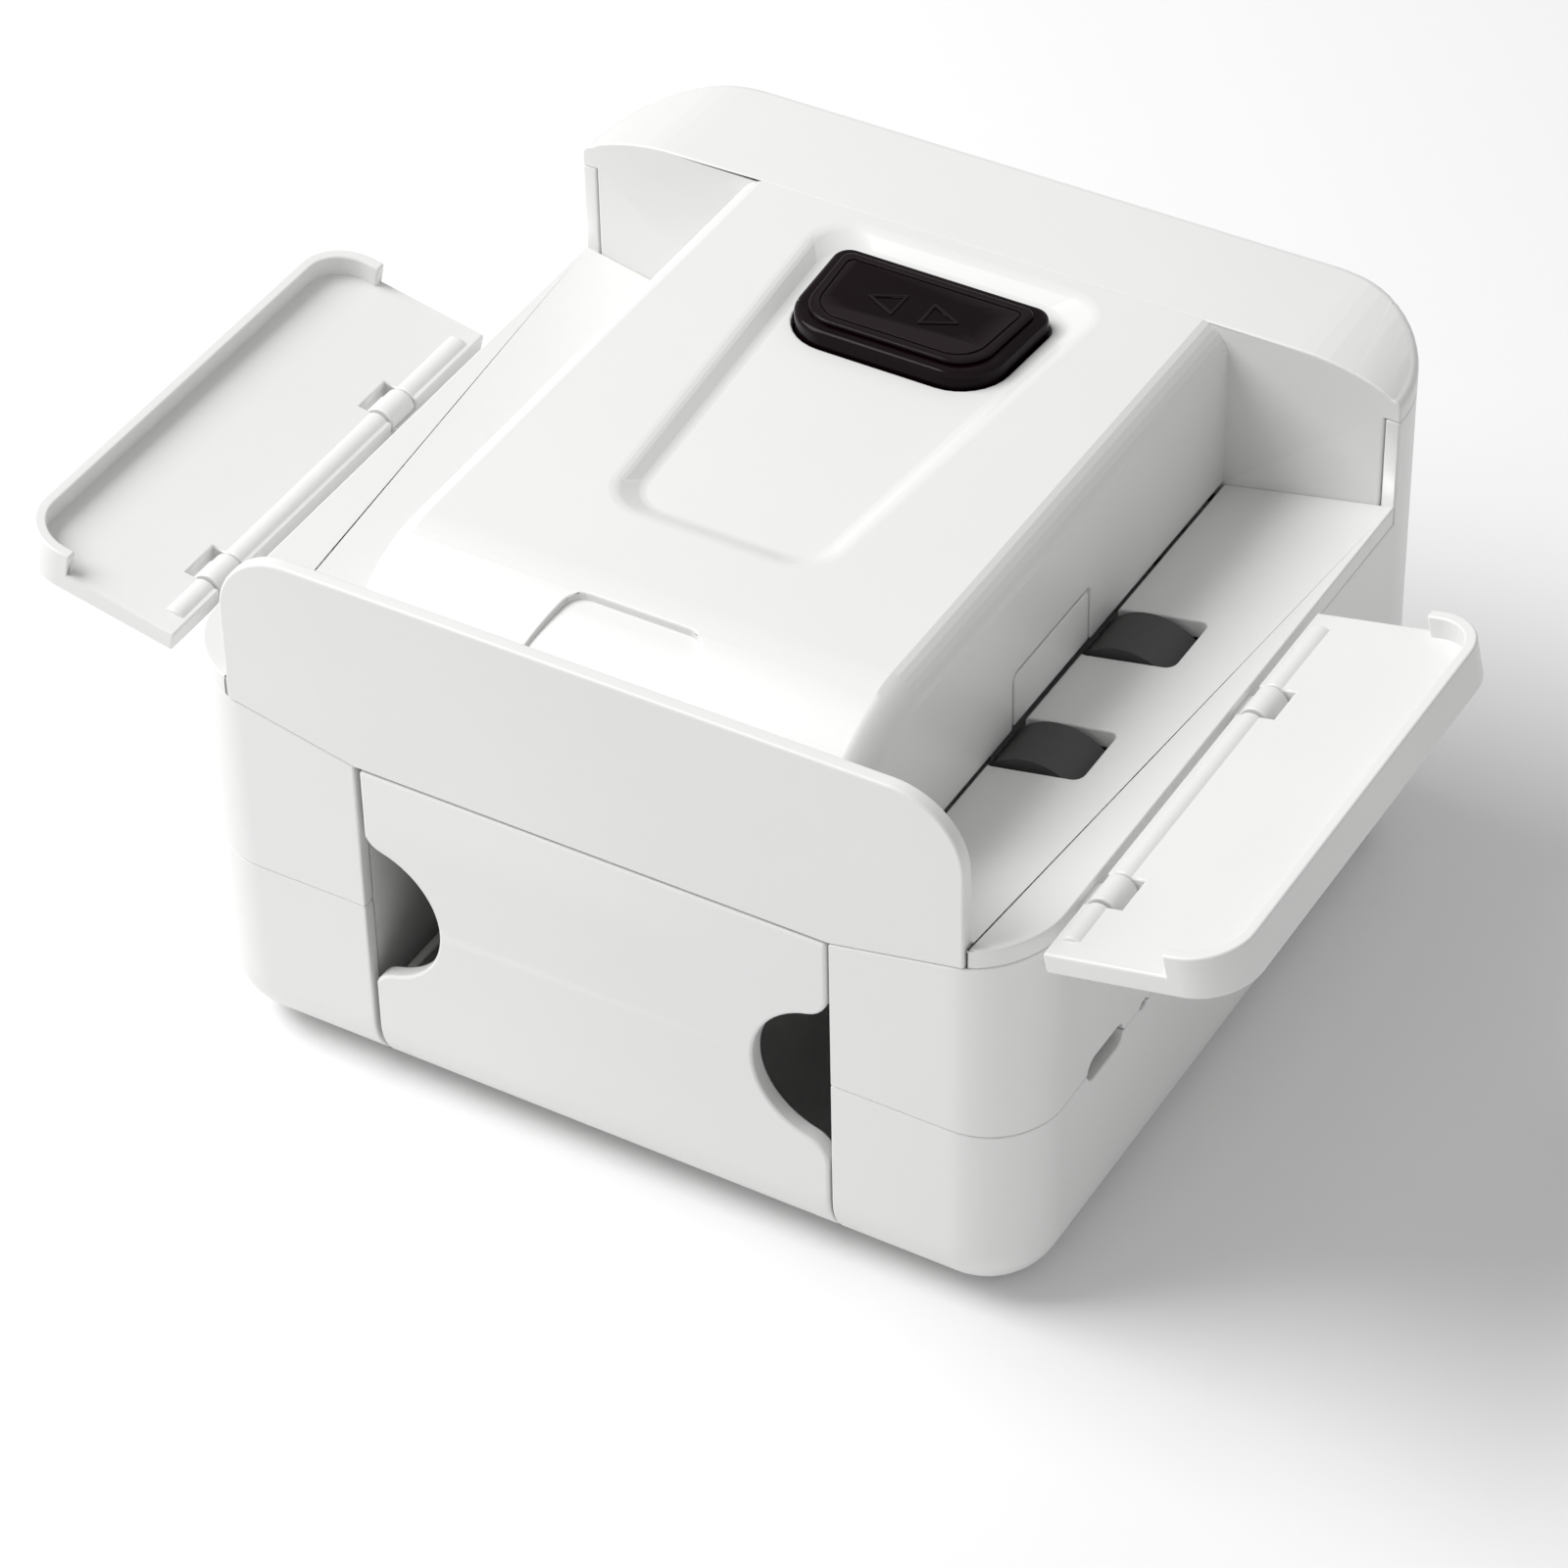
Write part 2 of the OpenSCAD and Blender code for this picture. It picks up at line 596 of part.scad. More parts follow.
module gearbox_plate() {
  color("lightgray") difference() {
    union() {
      translate([0, plate_y + plate_t, 0]) rotate([90, 0, 0]) linear_extrude(plate_t) plate_shape();
      for (p = pillars) translate([p[0], gear_cover_y, p[1]]) rotate([90, 0, 0]) cylinder(r = 2.4, h = gear_cover_y - plate_y - 1);
    }
    for (s = [-1, 1]) {
      translate([s * shaft_x, plate_y + plate_t + 1, shaft_z]) rotate([90, 0, 0]) cylinder(r = bush_r, h = plate_t + 2);
      translate([s * idler_pr, plate_y + plate_t + 1, shaft_z]) rotate([90, 0, 0]) cylinder(r = 1.5, h = plate_t + 2);
      translate([motor_x, plate_y + plate_t + 1, motor_z + s * 6]) rotate([90, 0, 0]) cylinder(r = 1.1, h = plate_t + 2);
    }
    translate([comp_x, plate_y + plate_t + 1, comp_z]) rotate([90, 0, 0]) cylinder(r = 1.5, h = plate_t + 2);
    translate([motor_x, plate_y + plate_t + 1, motor_z]) rotate([90, 0, 0]) cylinder(r = 3.2, h = plate_t + 2);
    for (p = pillars) translate([p[0], gear_cover_y + 1, p[1]]) rotate([90, 0, 0]) cylinder(r = 0.8, h = 8);
    translate([-42, plate_y + plate_t + 1, 10]) rotate([90, 0, 0]) cylinder(r = 1.4, h = plate_t + 2);
    for (x = [40, 44]) translate([x, plate_y + plate_t + 1, main_z - board_t - 1.7]) rotate([90, 0, 0]) cylinder(r = 1.2, h = plate_t + 2);
  }
}

module gear_cover() {
  color("lightgray") difference() {
    translate([-34, gear_cover_y, shaft_z - 29]) cube([67, 1.2, 52]);
    for (p = pillars) translate([p[0], gear_cover_y + 2, p[1]]) rotate([90, 0, 0]) cylinder(r = 1.1, h = 3);
    for (s = [-1, 1]) translate([s * idler_pr, gear_cover_y + 2, shaft_z]) rotate([90, 0, 0]) cylinder(r = 1.5, h = 3);
    translate([comp_x, gear_cover_y + 2, comp_z]) rotate([90, 0, 0]) cylinder(r = 1.5, h = 3);
  }
}

module idler_posts() {
  color("silver") for (s = [-1, 1]) translate([s * idler_pr, gear_cover_y + 1.2, shaft_z]) rotate([90, 0, 0])
    cylinder(r = 1.5, h = gear_cover_y + 1.2 - plate_y);
}

module compound_post() {
  color("silver") translate([comp_x, gear_cover_y + 1.2, comp_z]) rotate([90, 0, 0]) cylinder(r = 1.5, h = gear_cover_y + 1.2 - plate_y);
}

// spur gear outline with n teeth, straight-flanked, first tooth on +X
module gear_shape(n) {
  pr = mod * n / 2;
  rr = pr - 1.15 * mod;
  ra = pr + 0.92 * mod;
  q = 90 / n;
  circle(rr + 0.05);
  for (i = [0 : n - 1]) rotate(i * 360 / n) polygon([
    [(rr - 0.3) * cos(1.45 * q), -(rr - 0.3) * sin(1.45 * q)],
    [pr * cos(0.88 * q), -pr * sin(0.88 * q)],
    [ra * cos(0.42 * q), -ra * sin(0.42 * q)],
    [ra * cos(0.42 * q), ra * sin(0.42 * q)],
    [pr * cos(0.88 * q), pr * sin(0.88 * q)],
    [(rr - 0.3) * cos(1.45 * q), (rr - 0.3) * sin(1.45 * q)]
  ]);
}

// gear of n teeth at x, z starting at y, turned by a, bored to r
module gear(n, x, z, y, a, r) {
  translate([x, y + gear_t, z]) rotate([90, 0, 0]) linear_extrude(gear_t) rotate(a) difference() {
    gear_shape(n);
    circle(r);
  }
}

// phase of a gear of n2 teeth in direction al from a gear of n1 teeth at phase a1
function mesh_phase(n1, a1, n2, al) = al + 180 + 180 / n2 + (al - a1) * n1 / n2;
phase_a = 0;
phase_left = mesh_phase(idler_teeth, phase_a, shaft_teeth, 180);
phase_b = mesh_phase(idler_teeth, phase_a, idler_teeth, 0);
phase_right = mesh_phase(idler_teeth, phase_b, shaft_teeth, 0);
phase_small = mesh_phase(idler_teeth, phase_a, small_teeth, comp_ang);
phase_motor = mesh_phase(big_teeth, phase_small, small_teeth, motor_ang);

module idler_a() { color("ivory") gear(idler_teeth, -idler_pr, shaft_z, gear_y1, phase_a, 1.5 + run_gap); }
module idler_b() { color("ivory") gear(idler_teeth, idler_pr, shaft_z, gear_y1, phase_b, 1.5 + run_gap); }

module compound_gear() {
  color("ivory") {
    gear(small_teeth, comp_x, comp_z, gear_y1, phase_small, 1.5 + run_gap);
    translate([comp_x, gear_y2 + 0.5, comp_z]) rotate([90, 0, 0]) linear_extrude(gear_y2 - gear_y1 - gear_t + 1) difference() {
      circle(2.6);
      circle(1.5 + run_gap);
    }
    gear(big_teeth, comp_x, comp_z, gear_y2, phase_small, 1.5 + run_gap);
  }
}

module motor_can() {
  color("silver") difference() {
    intersection() {
      translate([motor_x, plate_y, motor_z]) rotate([90, 0, 0]) cylinder(r = 10, h = 22);
      translate([motor_x - 7.6, plate_y - 22, motor_z - 11]) cube([15.2, 22, 22]);
    }
    translate([motor_x, plate_y + 1, motor_z]) rotate([90, 0, 0]) cylinder(r = 1 + run_gap, h = 24);
    for (s = [-1, 1]) translate([motor_x, plate_y + 1, motor_z + s * 6]) rotate([90, 0, 0]) cylinder(r = 0.8, h = 4);
  }
}

module motor_cap() {
  color("white") intersection() {
    translate([motor_x, plate_y - 22, motor_z]) rotate([90, 0, 0]) cylinder(r = 9.6, h = 3);
    translate([motor_x - 7.2, plate_y - 25, motor_z - 11]) cube([14.4, 3, 22]);
  }
}

module motor_shaft() {
  color("silver") translate([motor_x, gear_y2 + gear_t + 0.4, motor_z]) rotate([90, 0, 0]) cylinder(r = 1, h = gear_y2 + gear_t + 0.4 - plate_y + 20);
}

module motor_pinion() { color("gold") gear(small_teeth, motor_x, motor_z, gear_y2, phase_motor, 1); }

module feed_shaft(s) {
  color("silver") translate([s * shaft_x, gear_y1 + gear_t + 0.4, shaft_z]) rotate([90, 0, 0])
    cylinder(r = shaft_d / 2, h = gear_y1 + gear_t + 0.4 - ear_y + 0.6);
}

module left_shaft() { feed_shaft(-1); }
module right_shaft() { feed_shaft(1); }
module left_shaft_gear() { color("ivory") gear(shaft_teeth, -shaft_x, shaft_z, gear_y1, phase_left, shaft_d / 2); }
module right_shaft_gear() { color("ivory") gear(shaft_teeth, shaft_x, shaft_z, gear_y1, phase_right, shaft_d / 2); }

// hubs or tyres of the two wheels on one shaft
module wheel_rings(s, r0, r1, t) {
  for (y = wheel_y) translate([s * shaft_x, y + t / 2, shaft_z]) rotate([90, 0, 0]) linear_extrude(t) difference() {
    circle(r1, $fn = 64);
    circle(r0, $fn = 64);
  }
}

module left_wheel_hubs() { color("white") wheel_rings(-1, shaft_d / 2, hub_r, wheel_t + 1); }
module right_wheel_hubs() { color("white") wheel_rings(1, shaft_d / 2, hub_r, wheel_t + 1); }
module left_tyres() { color("dimgray") wheel_rings(-1, hub_r, wheel_r, wheel_t); }
module right_tyres() { color("dimgray") wheel_rings(1, hub_r, wheel_r, wheel_t); }

module shaft_bushes() {
  color("gold") for (s = [-1, 1], y = [[ear_y, ear_t], [plate_y, plate_t + 1]])
    translate([s * shaft_x, y[0] + y[1], shaft_z]) rotate([90, 0, 0]) linear_extrude(y[1]) difference() {
      circle(bush_r);
      circle(shaft_d / 2 + run_gap);
    }
}

module battery_cell() {
  color("teal") {
    translate([cell_x, cell_y0 + cell_len, cell_z]) rotate([90, 0, 0]) cylinder(r = cell_r, h = cell_len - 1);
    translate([cell_x, cell_y0 + 1, cell_z]) rotate([90, 0, 0]) cylinder(r = 3.2, h = 1);
  }
}

module battery_cradle() {
  color("black") difference() {
    for (y = [cell_y0 + 4, cell_y0 + cell_len - 10]) translate([cell_x - cell_r, y, floor_z]) cube([2 * cell_r, 6, 6]);
    translate([cell_x, cell_y0 + cell_len + 1, cell_z]) rotate([90, 0, 0]) cylinder(r = cell_r, h = cell_len + 2);
    difference() {
      translate([0, -hd, 0]) cube([body_w, body_d, base_round + foot_h]);
      tub(wall, seam_z);
    }
  }
}

module main_board() {
  color("green") difference() {
    translate([board_x0, board_y0, main_z - board_t]) cube([board_x1 - board_x0, board_y1 - board_y0, board_t]);
    for (p = board_holes)
      translate([board_x0 + 2.5 + p[0], board_y0 + 3 + p[1], main_z - 3]) cylinder(r = 1.1, h = 5);
  }
}

module usb_socket() {
  color("silver") difference() {
    translate([board_x1 - 7.5, usb_y - 4.45, main_z]) cube([7.4, 8.9, 3.2]);
    translate([board_x1 - 6, usb_y - 3.9, main_z + 0.4]) cube([7, 7.8, 2.4]);
  }
  color("black") translate([board_x1 - 6.2, usb_y - 3.2, main_z + 1.25]) cube([5, 6.4, 0.7]);
}

module charge_led() {
  color("lime") translate([board_x1 - 1.8, usb_y + 9, main_z]) cube([1.7, 1.8, 1.9]);
}

module board_chips() {
  color("black") {
    translate([board_x0 + 7, board_y1 - 9, main_z]) cube([5, 6, 1.6]);
    translate([board_x0 + 2, board_y1 - 7, main_z]) cube([2.2, 3.6, 1]);
    translate([board_x0 + 14, board_y1 - 8, main_z]) cube([3, 3, 1.2]);
  }
}

module feet() {
  color("dimgray") for (s = [-1, 1], y = [-hd + 22, bay_y - 6]) translate([s * (hw - 22), y, 0]) cylinder(r = 6, h = foot_h + 0.6);
}

// screw with its head down at the origin and l of thread above it
module screw_up(l, r, hr, hh) {
  difference() {
    cylinder(r = hr, h = hh);
    translate([-hr * 0.7, -0.25, -eps]) cube([hr * 1.4, 0.5, hh * 0.5]);
    translate([-0.25, -hr * 0.7, -eps]) cube([0.5, hr * 1.4, hh * 0.5]);
  }
  translate([0, 0, hh - eps]) cylinder(r = r, h = l);
}

module case_screws() {
  color("silver") for (s = [-1, 1], p = boss) translate([s * p[0], p[1], head_z - 1.6]) screw_up(18, 1.2, 2.3, 1.6);
}

module board_screws() {
  color("silver") for (p = board_holes)
    translate([board_x0 + 2.5 + p[0], board_y0 + 3 + p[1], main_z + 1.1]) mirror([0, 0, 1]) screw_up(6, 0.75, 1.7, 1.1);
}

module switch_screws() {
  color("silver") for (s = [-1, 1]) translate([s * post_x, button_y, board_z - 1.1]) screw_up(6, 0.8, 1.8, 1.1);
}

module motor_screws() {
  color("silver") for (s = [-1, 1]) translate([motor_x, plate_y + plate_t + 1, motor_z + s * 6]) rotate([90, 0, 0]) screw_up(4, 0.8, 1.6, 1);
}

module gearbox_screws() {
  color("silver") for (p = pillars) translate([p[0], gear_cover_y + 2.2, p[1]]) rotate([90, 0, 0]) screw_up(7, 0.8, 1.8, 1);
}

// round wire of radius r from a to b
module wire(a, b, r) {
  d = b - a;
  l = norm(d);
  translate(a) rotate([0, acos(d[2] / l), atan2(d[1], d[0])]) cylinder(r = r, h = l, $fn = 24);
  translate(b) sphere(r = r * 1.08, $fn = 24);
}

module run(p, r) {
  for (i = [0 : len(p) - 2]) wire(p[i], p[i + 1], r);
}

module battery_lead() {
  color("red") run([[cell_x, cell_y0 - 0.7, cell_z], [cell_x, cell_y0 - 4, cell_z], [cell_x, cell_y0 - 4, main_z - board_t - 1.2],
    [cell_x, board_y1 - 3, main_z - board_t - 1.2], [cell_x, board_y1 - 3, main_z - board_t - 0.6]], 0.6);
}

module motor_lead() {
  z = 10;
  zb = main_z - board_t - 1.7;
  color("yellow") run([[motor_x, plate_y - 25.7, motor_z], [motor_x, plate_y - 28, motor_z], [motor_x, plate_y - 28, z], [-42, plate_y - 28, z],
    [-42, bay_y + 1.9, z], [40, bay_y + 1.9, z], [40, bay_y + 1.9, zb], [40, board_y1 - 2, zb], [40, board_y1 - 2, zb + 1]], 0.65);
}

module switch_lead() {
  zb = main_z - board_t - 1.7;
  color("blue") run([[10, button_y + 3, board_z - 0.7], [10, button_y + 3, board_z - 2], [10, bay_y - 4, board_z - 2], [10, bay_y - 4, top_z - 6.5],
    [10, bay_y + 3.8, top_z - 6.5], [bridge_x + 3, bay_y + 3.8, top_z - 6.5], [bridge_x + 3, bay_y + 3.8, top_z - 9.5],
    [54, bay_y + 3.8, top_z - 9.5], [54, bay_y + 3.8, 45], [44, bay_y + 1.9, 37], [44, bay_y + 1.9, zb], [44, board_y1 - 2, zb], [44, board_y1 - 2, zb + 1]], 0.6);
}

bottom_shell();
body_shell();
top_cover();
front_wall();
left_shelf();
right_shelf();
left_wing();
right_wing();
left_wing_pin();
right_wing_pin();
drawer_front();
drawer_tray();
button_cap();
button_springs();
switch_plunger();
switch_body();
switch_board();
left_gate();
right_gate();
left_frame();
right_frame();
gearbox_plate();
gear_cover();
idler_posts();
compound_post();
idler_a();
idler_b();
compound_gear();
motor_can();
motor_cap();
motor_shaft();
motor_pinion();
left_shaft();
right_shaft();
left_shaft_gear();
right_shaft_gear();
left_wheel_hubs();
right_wheel_hubs();
left_tyres();
right_tyres();
shaft_bushes();
battery_cell();
battery_cradle();
main_board();
usb_socket();
charge_led();
board_chips();
feet();
case_screws();
board_screws();
switch_screws();
motor_screws();
gearbox_screws();
battery_lead();
motor_lead();
switch_lead();
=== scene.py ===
import math

import bmesh
import bpy
from mathutils import Matrix, Quaternion, Vector


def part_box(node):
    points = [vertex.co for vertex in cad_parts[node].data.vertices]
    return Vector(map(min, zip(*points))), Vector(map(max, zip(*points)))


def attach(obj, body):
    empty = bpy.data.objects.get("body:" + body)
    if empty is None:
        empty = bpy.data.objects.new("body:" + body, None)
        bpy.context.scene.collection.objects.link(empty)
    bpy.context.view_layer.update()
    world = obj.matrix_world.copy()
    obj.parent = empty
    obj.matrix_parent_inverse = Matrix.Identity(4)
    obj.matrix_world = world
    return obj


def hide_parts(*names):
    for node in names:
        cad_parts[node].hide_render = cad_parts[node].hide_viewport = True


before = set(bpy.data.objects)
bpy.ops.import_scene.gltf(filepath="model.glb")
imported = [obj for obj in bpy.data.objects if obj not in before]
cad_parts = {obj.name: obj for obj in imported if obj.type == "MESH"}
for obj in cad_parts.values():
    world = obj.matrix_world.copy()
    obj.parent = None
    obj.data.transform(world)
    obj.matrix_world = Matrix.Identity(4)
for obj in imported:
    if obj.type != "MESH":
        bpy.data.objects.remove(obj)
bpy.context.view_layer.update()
scene = bpy.context.scene
print("frame loaded")


def span(node):  # lowest and highest corner of a CAD node, in millimetres
    low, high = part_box(node)
    return [v * 1000 for v in low], [v * 1000 for v in high]


baseLow, baseHigh = span("bottom_shell")
shelfLow, shelfHigh = span("right_shelf")
wallLow, wallHigh = span("front_wall")
drawerHigh = span("drawer_front")[1]
case = {
    "halfWidth": baseHigh[0],
    "front": baseLow[1],
    "back": baseHigh[1],
    "bottom": baseLow[2],
    "seam": baseHigh[2],
    "top": wallHigh[2],
    "sill": wallLow[2],
    "bayBack": shelfHigh[1],
    "bridge": shelfLow[0] - 0.2,
    "mouth": drawerHigh[0] + 0.4,
    "wall": 2.0,
    "frontCorner": 10,
    "rearCorner": 18,
    "shelfAngle": math.radians(12),
    "shelfThick": 2.8,
    "lidHeight": 6.4,
}
case["lidZ"] = case["top"] - case["lidHeight"]


def seamHeight(x):  # height of the sloping seam under the shelves
    return case["sill"] + (abs(x) - case["mouth"]) * math.tan(case["shelfAngle"])


case["bridgeBase"] = seamHeight(case["bridge"]) + case["shelfThick"] + 0.1


# camera, at the three-quarter view from the front right and above
view = {
    "place": (0.2871, -0.4918, 0.5023),
    "turn": (0.87731592, 0.40191216, 0.11965718, 0.23337858),
    "lens": 133.3,
    "sensor": 36,
    "shift": (0.02875, 0.00875),
}
camera = bpy.data.objects.new("camera", bpy.data.cameras.new("camera"))
scene.collection.objects.link(camera)
camera.location = view["place"]
camera.rotation_mode = "QUATERNION"
camera.rotation_quaternion = Quaternion(view["turn"])
camera.data.lens = view["lens"]
camera.data.sensor_width = view["sensor"]
camera.data.shift_x, camera.data.shift_y = view["shift"]
camera.data.clip_start = 0.01
camera.data.clip_end = 20
scene.camera = camera


# modelling helpers, all in millimetres until a piece is finished


def onAxis(axis, a, b, depth):
    return {"x": (depth, a, b), "y": (a, depth, b), "z": (a, b, depth)}[axis]


def prism(outline, low, high, axis="z", rounds=None, steps=8, flare=None):
    # outline drawn across the axis, corners rounded by radius, flare scales the far end
    bm = bmesh.new()
    corners = [bm.verts.new(onAxis(axis, a, b, low)) for a, b in outline]
    bm.faces.new(corners)
    for index, radius in (rounds or {}).items():
        bmesh.ops.bevel(bm, geom=[corners[index]], offset=radius, offset_type="OFFSET", affect="VERTICES",
                        segments=steps, profile=0.5, material=-1, clamp_overlap=True)
    grown = bmesh.ops.extrude_face_region(bm, geom=bm.faces[:])["geom"]
    moved = [g for g in grown if isinstance(g, bmesh.types.BMVert)]
    bmesh.ops.translate(bm, vec=onAxis(axis, 0, 0, high - low), verts=moved)
    if flare:
        middle = Vector((0, 0, 0))
        for vert in moved:
            middle += vert.co / len(moved)
        if len(flare) > 2:
            middle = Vector(flare[2])
        bmesh.ops.scale(bm, vec=onAxis(axis, flare[0], flare[1], 1), verts=moved,
                        space=Matrix.Translation(-middle))
    bmesh.ops.recalc_face_normals(bm, faces=bm.faces[:])
    return bm


def box(x0, x1, y0, y1, z0, z1):
    return prism([(x0, y0), (x1, y0), (x1, y1), (x0, y1)], z0, z1)


def rod(axis, centre, radius, low, high, steps=40):
    bm = bmesh.new()
    bmesh.ops.create_cone(bm, cap_ends=True, segments=steps, radius1=radius, radius2=radius, depth=high - low)
    turn = {"x": Matrix.Rotation(math.pi / 2, 3, "Y"), "y": Matrix.Rotation(math.pi / 2, 3, "X"),
            "z": Matrix.Identity(3)}[axis]
    bmesh.ops.rotate(bm, cent=(0, 0, 0), matrix=turn, verts=bm.verts[:])
    bmesh.ops.translate(bm, vec=onAxis(axis, centre[0], centre[1], (low + high) / 2), verts=bm.verts[:])
    bmesh.ops.recalc_face_normals(bm, faces=bm.faces[:])
    return bm


def bevelWhere(bm, wanted, width, steps=2, curve=0.5):
    edges = [e for e in bm.edges if wanted(e)]
    bmesh.ops.bevel(bm, geom=edges, offset=width, offset_type="OFFSET", affect="EDGES", segments=steps,
                    profile=curve, material=-1, clamp_overlap=False)


def ends(edge, check):  # both ends of an edge pass the check
    return all(check(v.co) for v in edge.verts)


def asObject(bm, name="tool"):
    mesh = bpy.data.meshes.new(name)
    bm.to_mesh(mesh)
    bm.free()
    obj = bpy.data.objects.new(name, mesh)
    scene.collection.objects.link(obj)
    return obj


def settle(obj):  # turns the modifiers into plain mesh
    graph = bpy.context.evaluated_depsgraph_get()
    mesh = bpy.data.meshes.new_from_object(obj.evaluated_get(graph))
    obj.modifiers.clear()
    obj.data = mesh


def combine(obj, operation, *tools):
    for tool in tools:
        other = tool if isinstance(tool, bpy.types.Object) else asObject(tool)
        mod = obj.modifiers.new("combine", "BOOLEAN")
        mod.operation = operation
        mod.solver = "EXACT"
        mod.object = other
        settle(obj)
        bpy.data.objects.remove(other)
    return obj


def cut(obj, *tools):
    return combine(obj, "DIFFERENCE", *tools)


def join(obj, *tools):
    return combine(obj, "UNION", *tools)


def hollow(obj, thickness):
    mod = obj.modifiers.new("wall", "SOLIDIFY")
    mod.thickness = thickness
    mod.offset = -1
    mod.use_even_offset = True
    settle(obj)


def reshape(obj, *steps):  # runs bmesh steps on a piece that is already an object
    bm = bmesh.new()
    bm.from_mesh(obj.data)
    bmesh.ops.remove_doubles(bm, verts=bm.verts[:], dist=0.002)
    for step in steps:
        step(bm)
    bm.to_mesh(obj.data)
    bm.free()


def mirrored(bm):
    bmesh.ops.scale(bm, vec=(-1, 1, 1), verts=bm.verts[:])
    bmesh.ops.recalc_face_normals(bm, faces=bm.faces[:])
    return bm


def finishPiece(obj, name, body, nodes, material, edge=0.3, steps=2, angle=30,
                plain=1.0):
    bm = bmesh.new()
    bm.from_mesh(obj.data)
    bmesh.ops.remove_doubles(bm, verts=bm.verts[:], dist=0.002)
    bmesh.ops.dissolve_limit(bm, angle_limit=math.radians(0.4), verts=bm.verts[:], edges=bm.edges[:])
    bmesh.ops.scale(bm, vec=(0.001, 0.001, 0.001), verts=bm.verts[:])
    for face in bm.faces:
        face.smooth = face.calc_area() < plain
    weight = bm.edges.layers.float.new("bevel_weight_edge")
    for rim in bm.edges:  # outer edges are rounded, inner corners stay crisp
        if len(rim.link_faces) == 2 and rim.calc_face_angle(0) > math.radians(angle):
            if edge and rim.is_convex:
                rim[weight] = 1.0
            else:
                rim.smooth = False
    bm.to_mesh(obj.data)
    bm.free()
    obj.name = name
    obj.data.name = name
    obj.data.materials.clear()
    obj.data.materials.append(material)
    if edge:
        soft = obj.modifiers.new("softEdges", "BEVEL")
        soft.width = edge * 0.001
        soft.segments = steps
        soft.limit_method = "WEIGHT"
        soft.use_clamp_overlap = False
    flat = obj.modifiers.new("flatFaces", "WEIGHTED_NORMAL")
    flat.weight = 100
    flat.keep_sharp = True
    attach(obj, body)
    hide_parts(*nodes)
    return obj


# shared surface effects


def newGroup(name, inputs, outputs):
    group = bpy.data.node_groups.new(name, "ShaderNodeTree")
    for label, kind, value in inputs:
        socket = group.interface.new_socket(name=label, in_out="INPUT", socket_type="NodeSocket" + kind)
        socket.default_value = value
    for label, kind in outputs:
        group.interface.new_socket(name=label, in_out="OUTPUT", socket_type="NodeSocket" + kind)
    return group, group.nodes.new("NodeGroupInput"), group.nodes.new("NodeGroupOutput")


def noiseNode(tree, scale, detail=3.0, rough=0.5):
    node = tree.nodes.new("ShaderNodeTexNoise")
    node.inputs["Scale"].default_value = scale
    node.inputs["Detail"].default_value = detail
    node.inputs["Roughness"].default_value = rough
    return node


def mapRange(tree, source, fromLow, fromHigh, low, high):
    node = tree.nodes.new("ShaderNodeMapRange")
    tree.links.new(source, node.inputs["Value"])
    for socket, value in (("From Min", fromLow), ("From Max", fromHigh), ("To Min", low), ("To Max", high)):
        if isinstance(value, (int, float)):
            node.inputs[socket].default_value = value
        else:
            tree.links.new(value, node.inputs[socket])
    return node.outputs["Result"]


def mixColour(tree, factor, first, second):
    node = tree.nodes.new("ShaderNodeMix")
    node.data_type = "RGBA"
    for socket, value in ((node.inputs[0], factor), (node.inputs[6], first), (node.inputs[7], second)):
        if isinstance(value, bpy.types.NodeSocket):
            tree.links.new(value, socket)
        else:
            socket.default_value = value
    return node.outputs[2]


def buildSurfaceGroup():  # slow colour drift, uneven gloss and fine moulding grain
    group, inlet, outlet = newGroup(
        "mouldedSurface",
        [("Colour", "Color", (0.8, 0.8, 0.8, 1)), ("Drift Colour", "Color", (0.7, 0.7, 0.7, 1)),
         ("Patch Scale", "Float", 20.0), ("Grain Scale", "Float", 2000.0),
         ("Gloss Low", "Float", 0.3), ("Gloss High", "Float", 0.4)],
        [("Colour", "Color"), ("Roughness", "Float"), ("Height", "Float")])
    place = group.nodes.new("ShaderNodeTexCoord").outputs["Object"]
    patch = noiseNode(group, 20, 4)
    grain = noiseNode(group, 2000, 2, 0.6)
    for node, label in ((patch, "Patch Scale"), (grain, "Grain Scale")):
        group.links.new(place, node.inputs["Vector"])
        group.links.new(inlet.outputs[label], node.inputs["Scale"])
    drift = mapRange(group, patch.outputs["Fac"], 0.35, 0.68, 0.0, 1.0)
    colour = mixColour(group, drift, inlet.outputs["Colour"], inlet.outputs["Drift Colour"])
    gloss = group.nodes.new("ShaderNodeMath")
    gloss.operation = "MULTIPLY_ADD"
    group.links.new(grain.outputs["Fac"], gloss.inputs[0])
    gloss.inputs[1].default_value = 0.35
    group.links.new(patch.outputs["Fac"], gloss.inputs[2])
    rough = mapRange(group, gloss.outputs[0], 0.4, 0.95, inlet.outputs["Gloss Low"], inlet.outputs["Gloss High"])
    group.links.new(colour, outlet.inputs["Colour"])
    group.links.new(rough, outlet.inputs["Roughness"])
    group.links.new(grain.outputs["Fac"], outlet.inputs["Height"])
    return group


